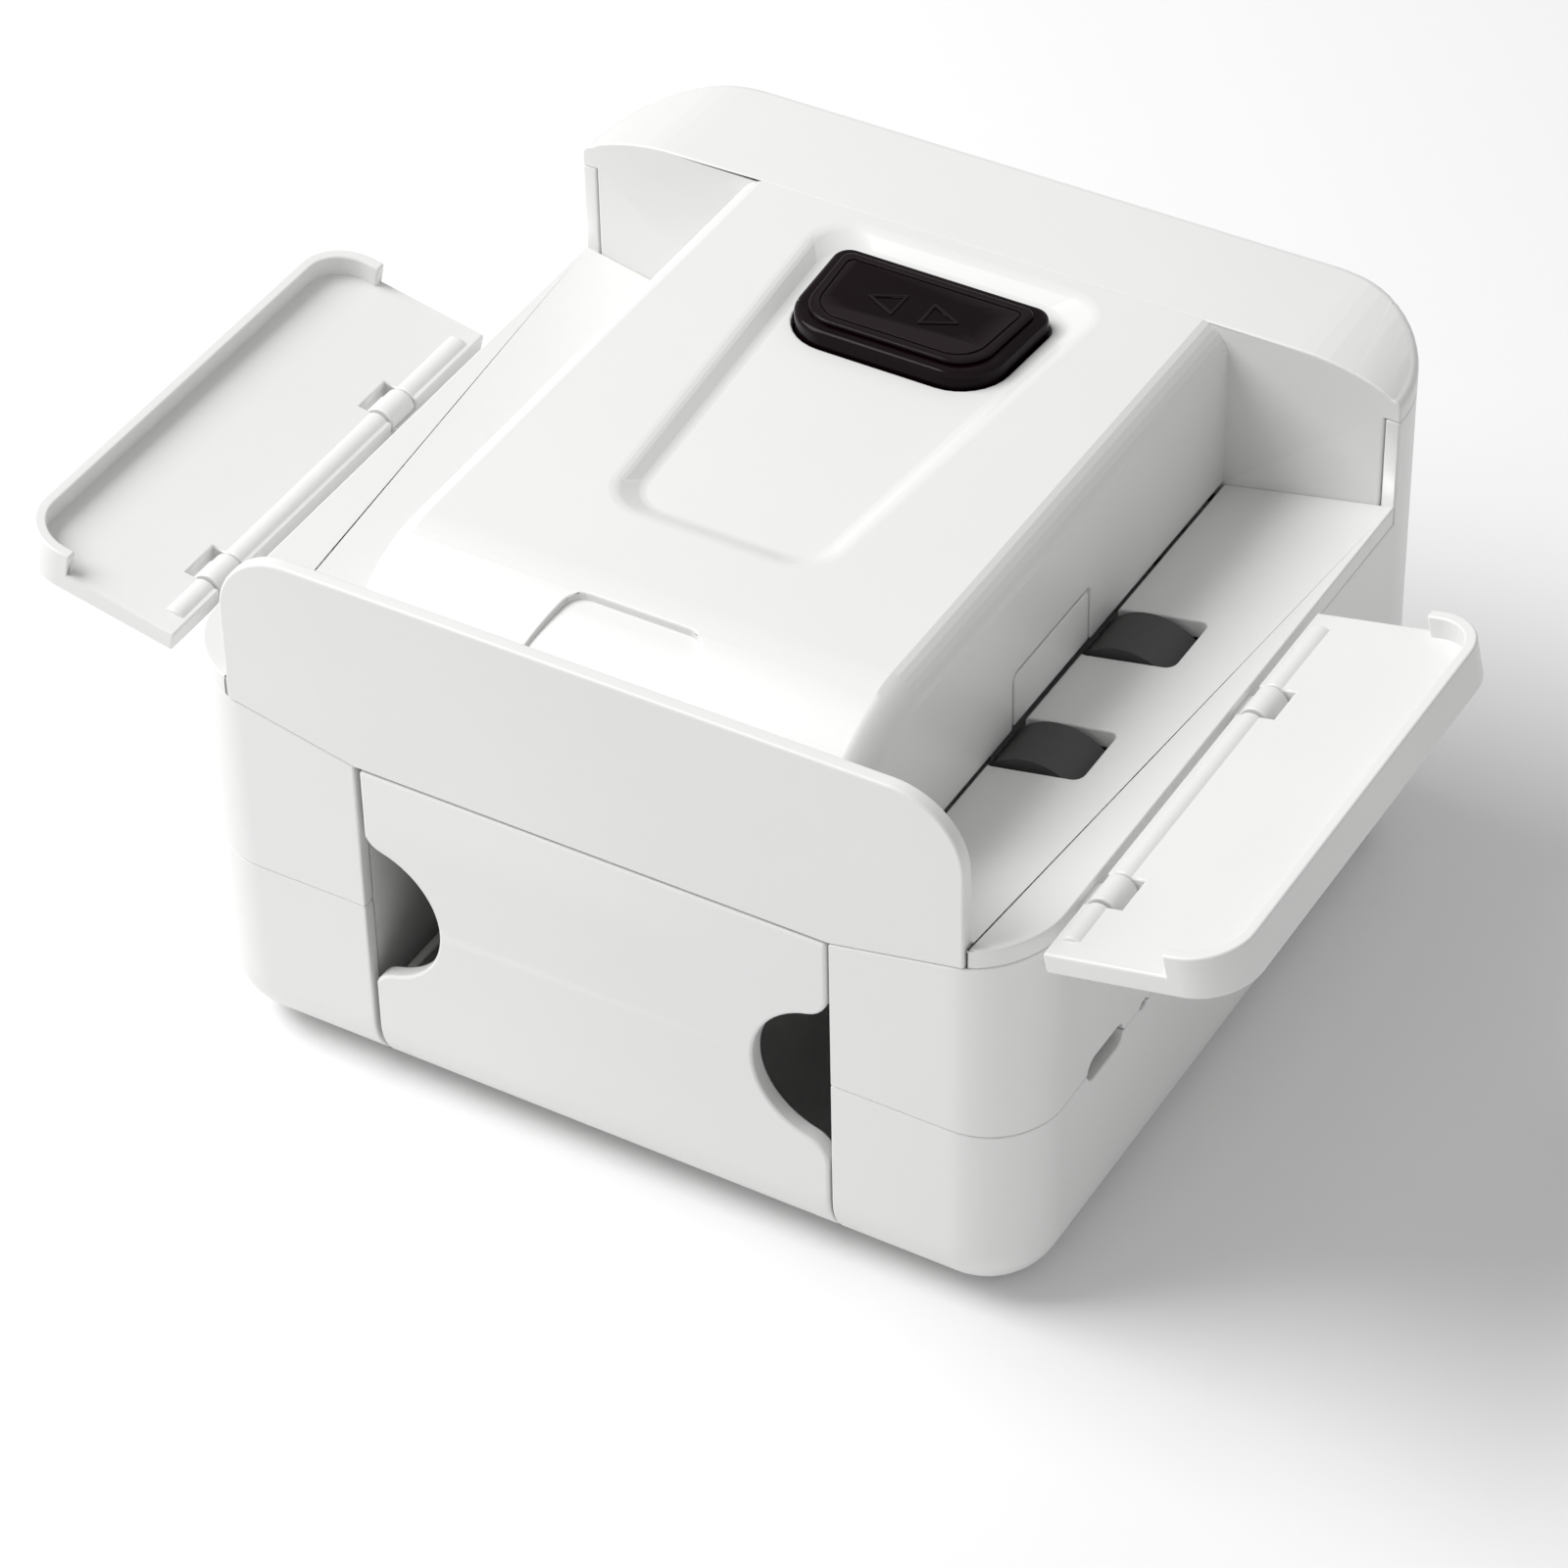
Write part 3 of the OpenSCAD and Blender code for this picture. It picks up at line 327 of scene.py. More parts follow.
def buildDustGroup():  # scattered specks on polished and flat faces
    group, inlet, outlet = newGroup(
        "dustSpecks",
        [("Colour", "Color", (0, 0, 0, 1)), ("Speck Colour", "Color", (0.5, 0.5, 0.5, 1)),
         ("Scale", "Float", 400.0), ("Size", "Float", 0.12), ("Amount", "Float", 0.5),
         ("Roughness", "Float", 0.2)],
        [("Colour", "Color"), ("Roughness", "Float")])
    place = group.nodes.new("ShaderNodeTexCoord").outputs["Object"]
    cells = group.nodes.new("ShaderNodeTexVoronoi")
    cells.feature = "F1"
    group.links.new(place, cells.inputs["Vector"])
    group.links.new(inlet.outputs["Scale"], cells.inputs["Scale"])
    rare = group.nodes.new("ShaderNodeSeparateColor")
    group.links.new(cells.outputs["Color"], rare.inputs["Color"])
    few = group.nodes.new("ShaderNodeMath")
    few.operation = "LESS_THAN"
    group.links.new(rare.outputs["Red"], few.inputs[0])
    group.links.new(inlet.outputs["Amount"], few.inputs[1])
    near = group.nodes.new("ShaderNodeMath")
    near.operation = "LESS_THAN"
    group.links.new(cells.outputs["Distance"], near.inputs[0])
    group.links.new(inlet.outputs["Size"], near.inputs[1])
    speck = group.nodes.new("ShaderNodeMath")
    speck.operation = "MULTIPLY"
    group.links.new(few.outputs[0], speck.inputs[0])
    group.links.new(near.outputs[0], speck.inputs[1])
    colour = mixColour(group, speck.outputs[0], inlet.outputs["Colour"], inlet.outputs["Speck Colour"])
    rough = mapRange(group, speck.outputs[0], 0.0, 1.0, inlet.outputs["Roughness"], 0.8)
    group.links.new(colour, outlet.inputs["Colour"])
    group.links.new(rough, outlet.inputs["Roughness"])
    return group


def buildEdgeWearAndHighlightGroup():  # lighter or darker along outer edges: painted highlight where rims catch the light, plus rubbed edges
    group, inlet, outlet = newGroup(
        "edgeWearAndHighlight",
        [("Colour", "Color", (0.5, 0.5, 0.5, 1)), ("Worn Colour", "Color", (0.7, 0.7, 0.7, 1)),
         ("Amount", "Float", 0.5)],
        [("Colour", "Color")])
    shape = group.nodes.new("ShaderNodeNewGeometry")
    edge = mapRange(group, shape.outputs["Pointiness"], 0.51, 0.6, 0.0, inlet.outputs["Amount"])
    colour = mixColour(group, edge, inlet.outputs["Colour"], inlet.outputs["Worn Colour"])
    group.links.new(colour, outlet.inputs["Colour"])
    return group


def buildBrushGroup():  # fine lines drawn along one axis of turned or rolled metal
    group, inlet, outlet = newGroup(
        "drawnLines",
        [("Stretch", "Vector", (300.0, 6000.0, 6000.0)), ("Gloss Low", "Float", 0.2), ("Gloss High", "Float", 0.4)],
        [("Roughness", "Float"), ("Height", "Float")])
    place = group.nodes.new("ShaderNodeTexCoord").outputs["Object"]
    pull = group.nodes.new("ShaderNodeVectorMath")
    pull.operation = "MULTIPLY"
    group.links.new(place, pull.inputs[0])
    group.links.new(inlet.outputs["Stretch"], pull.inputs[1])
    lines = noiseNode(group, 1.0, 3)
    group.links.new(pull.outputs[0], lines.inputs["Vector"])
    rough = mapRange(group, lines.outputs["Fac"], 0.3, 0.7, inlet.outputs["Gloss Low"], inlet.outputs["Gloss High"])
    group.links.new(rough, outlet.inputs["Roughness"])
    group.links.new(lines.outputs["Fac"], outlet.inputs["Height"])
    return group


surfaceGroup = buildSurfaceGroup()
dustGroup = buildDustGroup()
edgeWearAndHighlightGroup = buildEdgeWearAndHighlightGroup()
brushGroup = buildBrushGroup()


def addGroup(tree, group, **values):
    node = tree.nodes.new("ShaderNodeGroup")
    node.node_tree = group
    for label, value in values.items():
        socket = node.inputs[label.replace("_", " ")]
        if isinstance(value, bpy.types.NodeSocket):
            tree.links.new(value, socket)
        else:
            socket.default_value = value
    return node


def grey(value, tint=(0, 0, 0)):
    return (value + tint[0], value + tint[1], value + tint[2], 1)


def newMaterial(name):
    material = bpy.data.materials.new(name)
    material.use_nodes = True
    tree = material.node_tree
    shader = tree.nodes["Principled BSDF"]
    return material, tree, shader


def addBump(tree, shader, height, strength, distance):
    bump = tree.nodes.new("ShaderNodeBump")
    bump.inputs["Strength"].default_value = strength
    bump.inputs["Distance"].default_value = distance
    tree.links.new(height, bump.inputs["Height"])
    tree.links.new(bump.outputs["Normal"], shader.inputs["Normal"])


def plastic(name, colour, drift, gloss, grain=2000, depth=0.00002, patch=20, coat=0, specks=None, wearAndHighlight=None,
            shine=0.5):
    material, tree, shader = newMaterial(name)
    surface = addGroup(tree, surfaceGroup, Colour=colour, Drift_Colour=drift, Patch_Scale=float(patch),
                       Grain_Scale=float(grain), Gloss_Low=gloss[0], Gloss_High=gloss[1])
    colourOut = surface.outputs["Colour"]
    roughOut = surface.outputs["Roughness"]
    # lighter colour along outer edges: painted highlight on the rims, plus rubbed edges
    if wearAndHighlight:
        wearAndHighlightNode = addGroup(tree, edgeWearAndHighlightGroup, Colour=colourOut, Worn_Colour=wearAndHighlight[0], Amount=wearAndHighlight[1])
        colourOut = wearAndHighlightNode.outputs["Colour"]
    if specks:
        dust = addGroup(tree, dustGroup, Colour=colourOut, Speck_Colour=specks["colour"], Scale=specks["scale"],
                        Size=specks["size"], Amount=specks["amount"], Roughness=roughOut)
        colourOut, roughOut = dust.outputs["Colour"], dust.outputs["Roughness"]
    tree.links.new(colourOut, shader.inputs["Base Color"])
    tree.links.new(roughOut, shader.inputs["Roughness"])
    addBump(tree, shader, surface.outputs["Height"], 0.35, depth)
    shader.inputs["Specular IOR Level"].default_value = shine
    shader.inputs["Coat Weight"].default_value = coat
    shader.inputs["Coat Roughness"].default_value = 0.08
    return material


def metal(name, colour, drift, stretch, gloss, depth=0.00001):
    material, tree, shader = newMaterial(name)
    surface = addGroup(tree, surfaceGroup, Colour=colour, Drift_Colour=drift, Patch_Scale=150.0)
    wearAndHighlightNode = addGroup(tree, edgeWearAndHighlightGroup, Colour=surface.outputs["Colour"], Worn_Colour=grey(0.85), Amount=0.4)
    lines = addGroup(tree, brushGroup, Stretch=stretch, Gloss_Low=gloss[0], Gloss_High=gloss[1])
    tree.links.new(wearAndHighlightNode.outputs["Colour"], shader.inputs["Base Color"])
    tree.links.new(lines.outputs["Roughness"], shader.inputs["Roughness"])
    shader.inputs["Metallic"].default_value = 1.0
    addBump(tree, shader, lines.outputs["Height"], 0.3, depth)
    return material


finish = {
    # white and black plastics: their lighter colour along outer edges is a painted highlight on the rims
    "white": plastic("satinWhite", (0.80, 0.80, 0.79, 1), (0.775, 0.775, 0.77, 1), (0.30, 0.42), grain=2600,
                     depth=0.00002, wearAndHighlight=((0.86, 0.86, 0.85, 1), 0.5),
                     specks={"colour": grey(0.25), "scale": 60.0, "size": 0.012, "amount": 0.3}),
    "black": plastic("glossBlack", (0.004, 0.0008, 0.002, 1), (0.006, 0.0014, 0.003, 1), (0.12, 0.18), grain=1500,
                     depth=0.000006, shine=0.1, wearAndHighlight=((0.14, 0.115, 0.12, 1), 0.2),
                     specks={"colour": grey(0.35), "scale": 420.0, "size": 0.06, "amount": 0.12}),
    "tray": plastic("trayPlastic", (0.76, 0.75, 0.745, 1), (0.72, 0.71, 0.705, 1), (0.42, 0.6), grain=1400,
                    depth=0.00004, wearAndHighlight=((0.84, 0.84, 0.83, 1), 0.5)),
    "gear": plastic("gearPlastic", (0.78, 0.75, 0.66, 1), (0.72, 0.69, 0.60, 1), (0.32, 0.5), grain=1800,
                    patch=90, depth=0.00003, wearAndHighlight=((0.86, 0.84, 0.76, 1), 0.5)),
    "rubber": plastic("tyreRubber", (0.035, 0.034, 0.034, 1), (0.055, 0.053, 0.052, 1), (0.62, 0.85), grain=900,
                      patch=160, depth=0.00008, wearAndHighlight=((0.10, 0.10, 0.10, 1), 0.6)),
    "steel": metal("shaftSteel", grey(0.60), grey(0.52), (6000.0, 300.0, 6000.0), (0.18, 0.34)),
    "brass": metal("turnedBrass", (0.72, 0.52, 0.24, 1), (0.60, 0.42, 0.19, 1), (6000.0, 300.0, 6000.0),
                   (0.22, 0.4)),
    "board": plastic("boardGreen", (0.02, 0.16, 0.07, 1), (0.03, 0.22, 0.10, 1), (0.2, 0.35), grain=700, patch=420,
                     depth=0.00004, coat=0.3),
    "dark": plastic("darkPlastic", (0.02, 0.02, 0.022, 1), (0.035, 0.035, 0.037, 1), (0.35, 0.55), grain=1700,
                    patch=120, depth=0.00004, wearAndHighlight=((0.09, 0.09, 0.09, 1), 0.5)),
    "wrap": plastic("cellWrap", (0.02, 0.20, 0.28, 1), (0.025, 0.24, 0.33, 1), (0.2, 0.32), grain=500, patch=120,
                    depth=0.00003, coat=0.3),
    "led": plastic("ledLens", (0.70, 0.86, 0.70, 1), (0.62, 0.8, 0.62, 1), (0.1, 0.2), grain=900, patch=400),
    "red": plastic("redWire", (0.42, 0.015, 0.012, 1), (0.5, 0.03, 0.02, 1), (0.35, 0.5), patch=200),
    "yellow": plastic("yellowWire", (0.62, 0.44, 0.03, 1), (0.7, 0.5, 0.05, 1), (0.35, 0.5), patch=200),
    "blue": plastic("blueWire", (0.02, 0.06, 0.38, 1), (0.03, 0.08, 0.45, 1), (0.35, 0.5), patch=200),
}
print("materials ready")


def caseOutline(inset=0.0):
    x, y0, y1 = case["halfWidth"] - inset, case["front"] + inset, case["back"] - inset
    return [(-x, y0), (x, y0), (x, y1), (-x, y1)]


def caseRounds(inset=0.0):
    front, rear = case["frontCorner"] - inset, case["rearCorner"] - inset
    return {0: front, 1: front, 2: rear, 3: rear}


def bosses():  # places of the case screws
    half, bay = case["halfWidth"], case["bayBack"]
    spots = [(half - 10, case["front"] + 10), (half - 7, bay + 4)]
    return [(side * x, y) for side in (-1, 1) for x, y in spots]


# lower case
lowerShape = {"round": 9, "mouthHeight": 1.2, "boss": 4, "headHole": 2.7, "footHole": 6.1, "footDepth": 0.6}
usbShape = {"fromFront": 21, "half": 4.6, "high": 1.7, "ledFrom": 9, "ledTo": 10.8, "ledHigh": 0.5}


def usbCutters():
    y, z, x = case["front"] + usbShape["fromFront"], case["seam"], case["halfWidth"]
    half, high = usbShape["half"], usbShape["high"]
    slotOutline = [(y - half, z - high), (y + half, z - high), (y + half, z + high), (y - half, z + high)]
    lamp = [(y + usbShape["ledFrom"], z - usbShape["ledHigh"]), (y + usbShape["ledTo"], z - usbShape["ledHigh"]),
            (y + usbShape["ledTo"], z + usbShape["ledHigh"]), (y + usbShape["ledFrom"], z + usbShape["ledHigh"])]
    near = high * 0.98
    return (prism(slotOutline, x - 3, x + 1, "x", {i: near for i in range(4)}),
            prism(lamp, x - 3, x + 1, "x", {i: 0.45 for i in range(4)}, 4))


def makeLowerCase():
    bm = prism(caseOutline(), case["bottom"], case["seam"], "z", caseRounds(), 14)
    low = case["bottom"] + 0.01
    bevelWhere(bm, lambda e: ends(e, lambda c: c.z < low), lowerShape["round"], 12)
    top = [f for f in bm.faces if f.normal.z > 0.9 and f.calc_center_median().z > case["seam"] - 0.01]
    bmesh.ops.delete(bm, geom=top, context="FACES_ONLY")
    obj = asObject(bm)
    hollow(obj, case["wall"])
    mouth, front, bottom = case["mouth"], case["front"], case["bottom"]
    for x, y in bosses():
        join(obj, rod("z", (x, y), lowerShape["boss"], bottom + 1.5, case["seam"] - 0.05, 32))
    # the part of a post that would stand out past the rounded case is trimmed by the outer skin
    skin = prism(caseOutline(), bottom, case["seam"] + 1, "z", caseRounds(), 14)
    bevelWhere(skin, lambda e: ends(e, lambda c: c.z < low), lowerShape["round"], 12)
    combine(obj, "INTERSECT", skin)
    cut(obj, box(-mouth, mouth, front - 1, front + lowerShape["round"] + 2, bottom + lowerShape["mouthHeight"],
                 case["seam"] + 5))
    for x, y in bosses():
        cut(obj, rod("z", (x, y), lowerShape["headHole"], bottom - 1, 15, 32),
            rod("z", (x, y), 1.5, bottom + 5, case["seam"] + 1, 24))
    for side in (-1, 1):
        for y in (front + 22, case["bayBack"] - 6):
            cut(obj, rod("z", (side * (case["halfWidth"] - 22), y), lowerShape["footHole"], bottom - 1,
                         bottom + lowerShape["footDepth"], 48))
    cut(obj, *usbCutters())
    return finishPiece(obj, "lower_case", "case", ["bottom_shell"], finish["white"], 0.28)


# upper case wall
lugShape = {"reach": 3.2, "radius": 2.1, "width": 5, "places": (13, 52), "wingFront": 2.2}
hingeX = case["halfWidth"] + lugShape["reach"]
hingeZ = seamHeight(hingeX) + case["shelfThick"] / 2
lugPlaces = [case["front"] + lugShape["wingFront"] + place for place in lugShape["places"]]


def makeUpperCase():
    bm = prism(caseOutline(), case["seam"], case["lidZ"], "z", caseRounds(), 14)
    caps = [f for f in bm.faces if abs(f.normal.z) > 0.9]
    bmesh.ops.delete(bm, geom=caps, context="FACES_ONLY")
    obj = asObject(bm)
    hollow(obj, case["wall"])
    far, mouth, front = case["halfWidth"] + 10, case["mouth"], case["front"]
    above = [(-far, seamHeight(far)), (-mouth, case["sill"]), (mouth, case["sill"]), (far, seamHeight(far)),
             (far, case["top"] + 5), (-far, case["top"] + 5)]
    cut(obj, prism(above, front - 2, case["bayBack"], "y"),
        box(-mouth, mouth, front - 1, front + 3, case["seam"] - 1, case["top"] + 5))
    for side in (-1, 1):
        for y in lugPlaces:
            half = lugShape["width"] / 2
            inner, outer = side * (case["halfWidth"] - 1), side * hingeX
            arm = [(inner, hingeZ - 5.5), (side * (case["halfWidth"] + 1.2), hingeZ - 5.5), (outer, hingeZ - 2.1),
                   (outer, hingeZ - 0.3), (inner, hingeZ - 0.3)]
            join(obj, prism(arm, y - half, y + half, "y"),
                 rod("y", (side * hingeX, hingeZ), lugShape["radius"], y - half, y + half, 32))
            cut(obj, rod("y", (side * hingeX, hingeZ), 1.0, y - half - 1, y + half + 1, 24))
    cut(obj, *usbCutters())
    return finishPiece(obj, "upper_case", "case", ["body_shell"], finish["white"], 0.28)


# bridge, rear lid and bay back walls in one moulding
coverShape = {
    "thick": 2.0,
    "noseRun": 6,
    "chamfer": 3.6,
    "chamferCurve": 0.38,
    "droopFrom": 14,
    "droop": 3.2,
    "rimRound": 1.3,
    "recessDepth": 1.6,
    "recessFront": (-28.4, 14.8),
    "recessBack": (36.2, 20.4),
    "floorFront": (-25.4, 12.7),
    "floorBack": (33.4, 17.4),
    "gripDepth": 1.3,
    "gripBack": (-43.9, 8.8),
    "gripFront": 12.4,
}
buttonShape = {
    "back": (31, 15.4),
    "front": (13, 14.3),
    "rear": 2.5,
    "fore": 6,
    "gap": 0.35,
    "panelInset": 1.7,
    "panelRise": 0.6,
    "lineInset": 2.9,
    "lineWidth": 0.24,
    "lineDepth": 0.16,
    "flange": 1.1,
    "arrow": 2.4,
    "arrowOut": 4.2,
    "arrowRise": 0.16,
}
gateShape = {"middle": -7, "half": 9.5, "height": 8.0, "gap": 0.5, "thick": 1.4, "corner": 1.3, "sunk": 0.05}


def bridgeOutline(inset=0.0, back=3.0):
    base, top, y1 = case["bridgeBase"], case["top"] - inset, case["bayBack"] + back
    front = case["front"] + case["wall"] + 0.1 + inset
    run = coverShape["noseRun"]
    return [(y1, base), (front, base), (front, top - run * 4 / 3), (front + run, top), (y1, top)]


def noseRounds(inset=0.0):  # the arc is tangent to the flat top and to the front slope
    return {3: coverShape["noseRun"] * 5 / 3 - 0.05 - inset}


def lidBlock():
    half, bay, back = case["halfWidth"], case["bayBack"], case["back"]
    rear = case["rearCorner"]
    fore = bay - 6
    bm = prism([(-half, fore), (half, fore), (half, back), (-half, back)], case["lidZ"], case["top"], "z",
               {2: rear, 3: rear}, 16)
    start, droop = half - coverShape["droopFrom"], coverShape["droop"]
    radius = (coverShape["droopFrom"] ** 2 + droop ** 2) / (2 * droop)
    for step in range(7):
        for side in (-1, 1):
            bmesh.ops.bisect_plane(bm, geom=bm.verts[:] + bm.edges[:] + bm.faces[:],
                                   plane_co=(side * (start + step * 2), 0, 0), plane_no=(1, 0, 0), dist=0.0001)
    for vert in bm.verts:
        past = abs(vert.co.x) - start
        if past > 0 and vert.co.z > case["lidZ"] + 1:
            vert.co.z -= radius - math.sqrt(radius ** 2 - past ** 2)

    def onRim(edge):
        if len(edge.link_faces) < 2:
            return False
        flat = [abs(f.normal.z) for f in edge.link_faces]
        high = all(v.co.z > case["lidZ"] + 1 for v in edge.verts)
        rearSide = not ends(edge, lambda c: abs(c.y - fore) < 0.01)
        return high and rearSide and max(flat) > 0.7 and min(flat) < 0.3

    bevelWhere(bm, onRim, coverShape["rimRound"], 4)
    bmesh.ops.bisect_plane(bm, geom=bm.verts[:] + bm.edges[:] + bm.faces[:], plane_co=(0, bay, 0),
                           plane_no=(0, -1, 0), dist=0.0001, clear_outer=True)
    bmesh.ops.holes_fill(bm, edges=[e for e in bm.edges if e.is_boundary], sides=0)
    bmesh.ops.recalc_face_normals(bm, faces=bm.faces[:])
    return bm


def recessCutter(grow=0.0):
    (floorY0, floorX0), (floorY1, floorX1) = coverShape["floorFront"], coverShape["floorBack"]
    (edgeY0, edgeX0), (edgeY1, edgeX1) = coverShape["recessFront"], coverShape["recessBack"]
    outline = [(-floorX0 - grow, floorY0 - grow), (floorX0 + grow, floorY0 - grow),
               (floorX1 + grow, floorY1 + grow), (-floorX1 - grow, floorY1 + grow)]
    depth = coverShape["recessDepth"]
    over = 0.5
    reach = (depth + over) / depth
    flareX = 1 + ((edgeX0 + edgeX1) / (floorX0 + floorX1) - 1) * reach
    flareY = 1 + ((edgeY1 - edgeY0) / (floorY1 - floorY0) - 1) * reach
    middle = (0, (floorY0 + floorY1 + (edgeY0 + edgeY1 - floorY0 - floorY1) * reach) / 2, 0)
    return prism(outline, case["top"] - depth, case["top"] + over, "z", {0: 4.5, 1: 4.5, 2: 5, 3: 5}, 8,
                 (flareX, flareY, middle))


def gripCutter():
    front, depth = case["front"] + case["wall"], coverShape["gripDepth"]
    (backY, backX), frontX = coverShape["gripBack"], coverShape["gripFront"]
    obj = asObject(prism([(-frontX, front - 1), (frontX, front - 1), (backX, backY), (-backX, backY)],
                         case["bridgeBase"] + 2, case["top"] + 1, "z", {2: 2.0, 3: 2.0}, 5))
    within = prism(bridgeOutline(depth), -30, 30, "x", noseRounds(depth / 2), 14)
    bmesh.ops.translate(within, vec=(0, -depth * 1.6, 0), verts=within.verts[:])
    cut(obj, within)
    return obj


def buttonOutline(grow=0.0):
    (backY, backX), (frontY, frontX) = buttonShape["back"], buttonShape["front"]
    return [(-frontX - grow, frontY - grow), (frontX + grow, frontY - grow), (backX + grow, backY + grow),
            (-backX - grow, backY + grow)]


def buttonRounds(grow=0.0):
    return {0: buttonShape["fore"] + grow, 1: buttonShape["fore"] + grow, 2: buttonShape["rear"] + grow,
            3: buttonShape["rear"] + grow}


def gateOutline(grow=0.0):
    middle, half = gateShape["middle"], gateShape["half"] + grow
    base = case["bridgeBase"]
    return [(middle - half, base - (1 if grow else -0.3)), (middle + half, base - (1 if grow else -0.3)),
            (middle + half, base + gateShape["height"] + grow), (middle - half, base + gateShape["height"] + grow)]


def makeTopCover():
    edgeX, top, bay, thick = case["bridge"], case["top"], case["bayBack"], coverShape["thick"]
    bridge = prism(bridgeOutline(0, 2.5), -edgeX, edgeX, "x", noseRounds(), 16)
    upper = top - coverShape["noseRun"] * 4 / 3 - 0.01

    def alongTop(edge):
        sameSide = abs(abs(edge.verts[0].co.x) - edgeX) < 0.01 and abs(edge.verts[0].co.x - edge.verts[1].co.x) < 0.01
        return sameSide and ends(edge, lambda c: c.z > upper)

    bevelWhere(bridge, alongTop, coverShape["chamfer"], 6, coverShape["chamferCurve"])
    obj = asObject(bridge)
    join(obj, lidBlock())
    for side in (-1, 1):
        near, far = side * (edgeX - thick), side * (case["halfWidth"] - case["wall"] - 0.15)
        join(obj, box(min(near, far), max(near, far), bay, bay + thick, case["sill"] + 1, case["lidZ"] + 0.5))
    inner = asObject(prism(bridgeOutline(thick, 4), -edgeX + thick, edgeX - thick, "x", noseRounds(thick * 0.6), 8))
    cut(inner, prism(buttonOutline(22), top - coverShape["recessDepth"] - thick, top, "z"))
    cut(obj, inner)
    cut(obj, box(-edgeX + thick, edgeX - thick, case["front"] + case["wall"] + 0.5, bay + 5, case["bridgeBase"] - 1,
                 case["bridgeBase"] + 1))
    wide = case["halfWidth"] - case["wall"]
    rear = case["rearCorner"] - case["wall"]
    y0, y1 = bay + thick, case["back"] - case["wall"]
    cut(obj, prism([(-wide, y0), (wide, y0), (wide, y1), (-wide, y1)], case["lidZ"] - 1, case["lidZ"] + 1.2, "z",
                   {2: rear, 3: rear}),
        prism([(-wide + 13, y0), (wide - 13, y0), (wide - 13, y1), (-wide + 13, y1)], case["lidZ"] - 1, top - thick,
              "z", {2: 3, 3: 3}))
    cut(obj, recessCutter())
    cut(obj, gripCutter())

    def isCrease(edge):
        return len(edge.link_faces) == 2 and edge.calc_face_angle(0) > 0.25

    def floorEdge(edge):
        level = top - coverShape["recessDepth"]
        return ends(edge, lambda c: abs(c.z - level) < 0.01 and abs(c.x) < 22) and isCrease(edge)

    def rimEdge(edge):
        (y0, x0), (y1, x1) = coverShape["recessFront"], coverShape["recessBack"]
        inside = ends(edge, lambda c: abs(c.z - top) < 0.01 and abs(c.x) < x1 + 1 and y0 - 1 < c.y < y1 + 1)
        return inside and isCrease(edge)

    reshape(obj, lambda bm: bevelWhere(bm, floorEdge, 0.6, 3), lambda bm: bevelWhere(bm, rimEdge, 0.8, 3))
    cut(obj, prism(buttonOutline(buttonShape["gap"]), 68, top, "z", buttonRounds(buttonShape["gap"]), 8))
    for side in (-1, 1):
        near, far = sorted((side * (edgeX - thick - 1), side * (edgeX + 1)))
        cut(obj, prism(gateOutline(gateShape["gap"]), near, far, "x", {2: gateShape["corner"], 3: gateShape["corner"]},
                       5))
    return finishPiece(obj, "top_moulding", "case", ["top_cover"], finish["white"], 0.3, 3, 24,
                       0.00003)


# front wall, standing in front of the bays
frontWallShape = {"corner": 10, "edge": 0.4}


def makeFrontWall():
    half, sill, top, mouth = wallHigh[0], case["sill"], case["top"], case["mouth"]
    outline = [(-half, seamHeight(half)), (-mouth, sill), (mouth, sill), (half, seamHeight(half)), (half, top),
               (-half, top)]
    obj = asObject(prism(outline, case["front"], case["front"] + case["wall"], "y",
                         {i: frontWallShape["corner"] for i in (4, 5)}, 14))
    return finishPiece(obj, "raised_front_wall", "case", ["front_wall"], finish["white"],
                       frontWallShape["edge"], 3)


# card shelves
shelfShape = {"wheelX": 41.6, "slotHalf": 6.5, "wheelY": (-19, 5), "slotLong": 5}


def makeShelf(side):
    inner, outer, thick = case["bridge"] + 0.2, case["halfWidth"] + 1, case["shelfThick"]
    outline = [(side * inner, seamHeight(inner)), (side * outer, seamHeight(outer)),
               (side * outer, seamHeight(outer) + thick), (side * inner, seamHeight(inner) + thick)]
    obj = asObject(prism(outline, case["front"], case["bayBack"], "y"))
    combine(obj, "INTERSECT", prism(caseOutline(), 0, case["top"], "z", caseRounds(), 14))
    slit = wallHigh[0] + 0.15
    cut(obj, box(-slit, slit, case["front"] - 1, case["front"] + case["wall"] + 0.1, 0, case["top"]))
    for y in shelfShape["wheelY"]:
        x, half, long = side * shelfShape["wheelX"], shelfShape["slotHalf"], shelfShape["slotLong"]
        cut(obj, prism([(x - half, y - long), (x + half, y - long), (x + half, y + long), (x - half, y + long)],
                       40, case["top"], "z", {i: 1.2 for i in range(4)}, 4))
    name = ("left", "", "right")[side + 1]
    return finishPiece(obj, name + "_card_shelf", "case", [name + "_shelf"], finish["white"], 0.3)


# fold-up wings
wingShape = {"long": 22.5, "wide": 71, "corner": 7, "lip": 3, "lipThick": 1.6, "lipReach": 8.6, "barrel": 1.9,
             "root": -2, "barrelIn": 3, "pinHole": 1.05, "pinIn": 4.2, "lugRoom": 2.85}


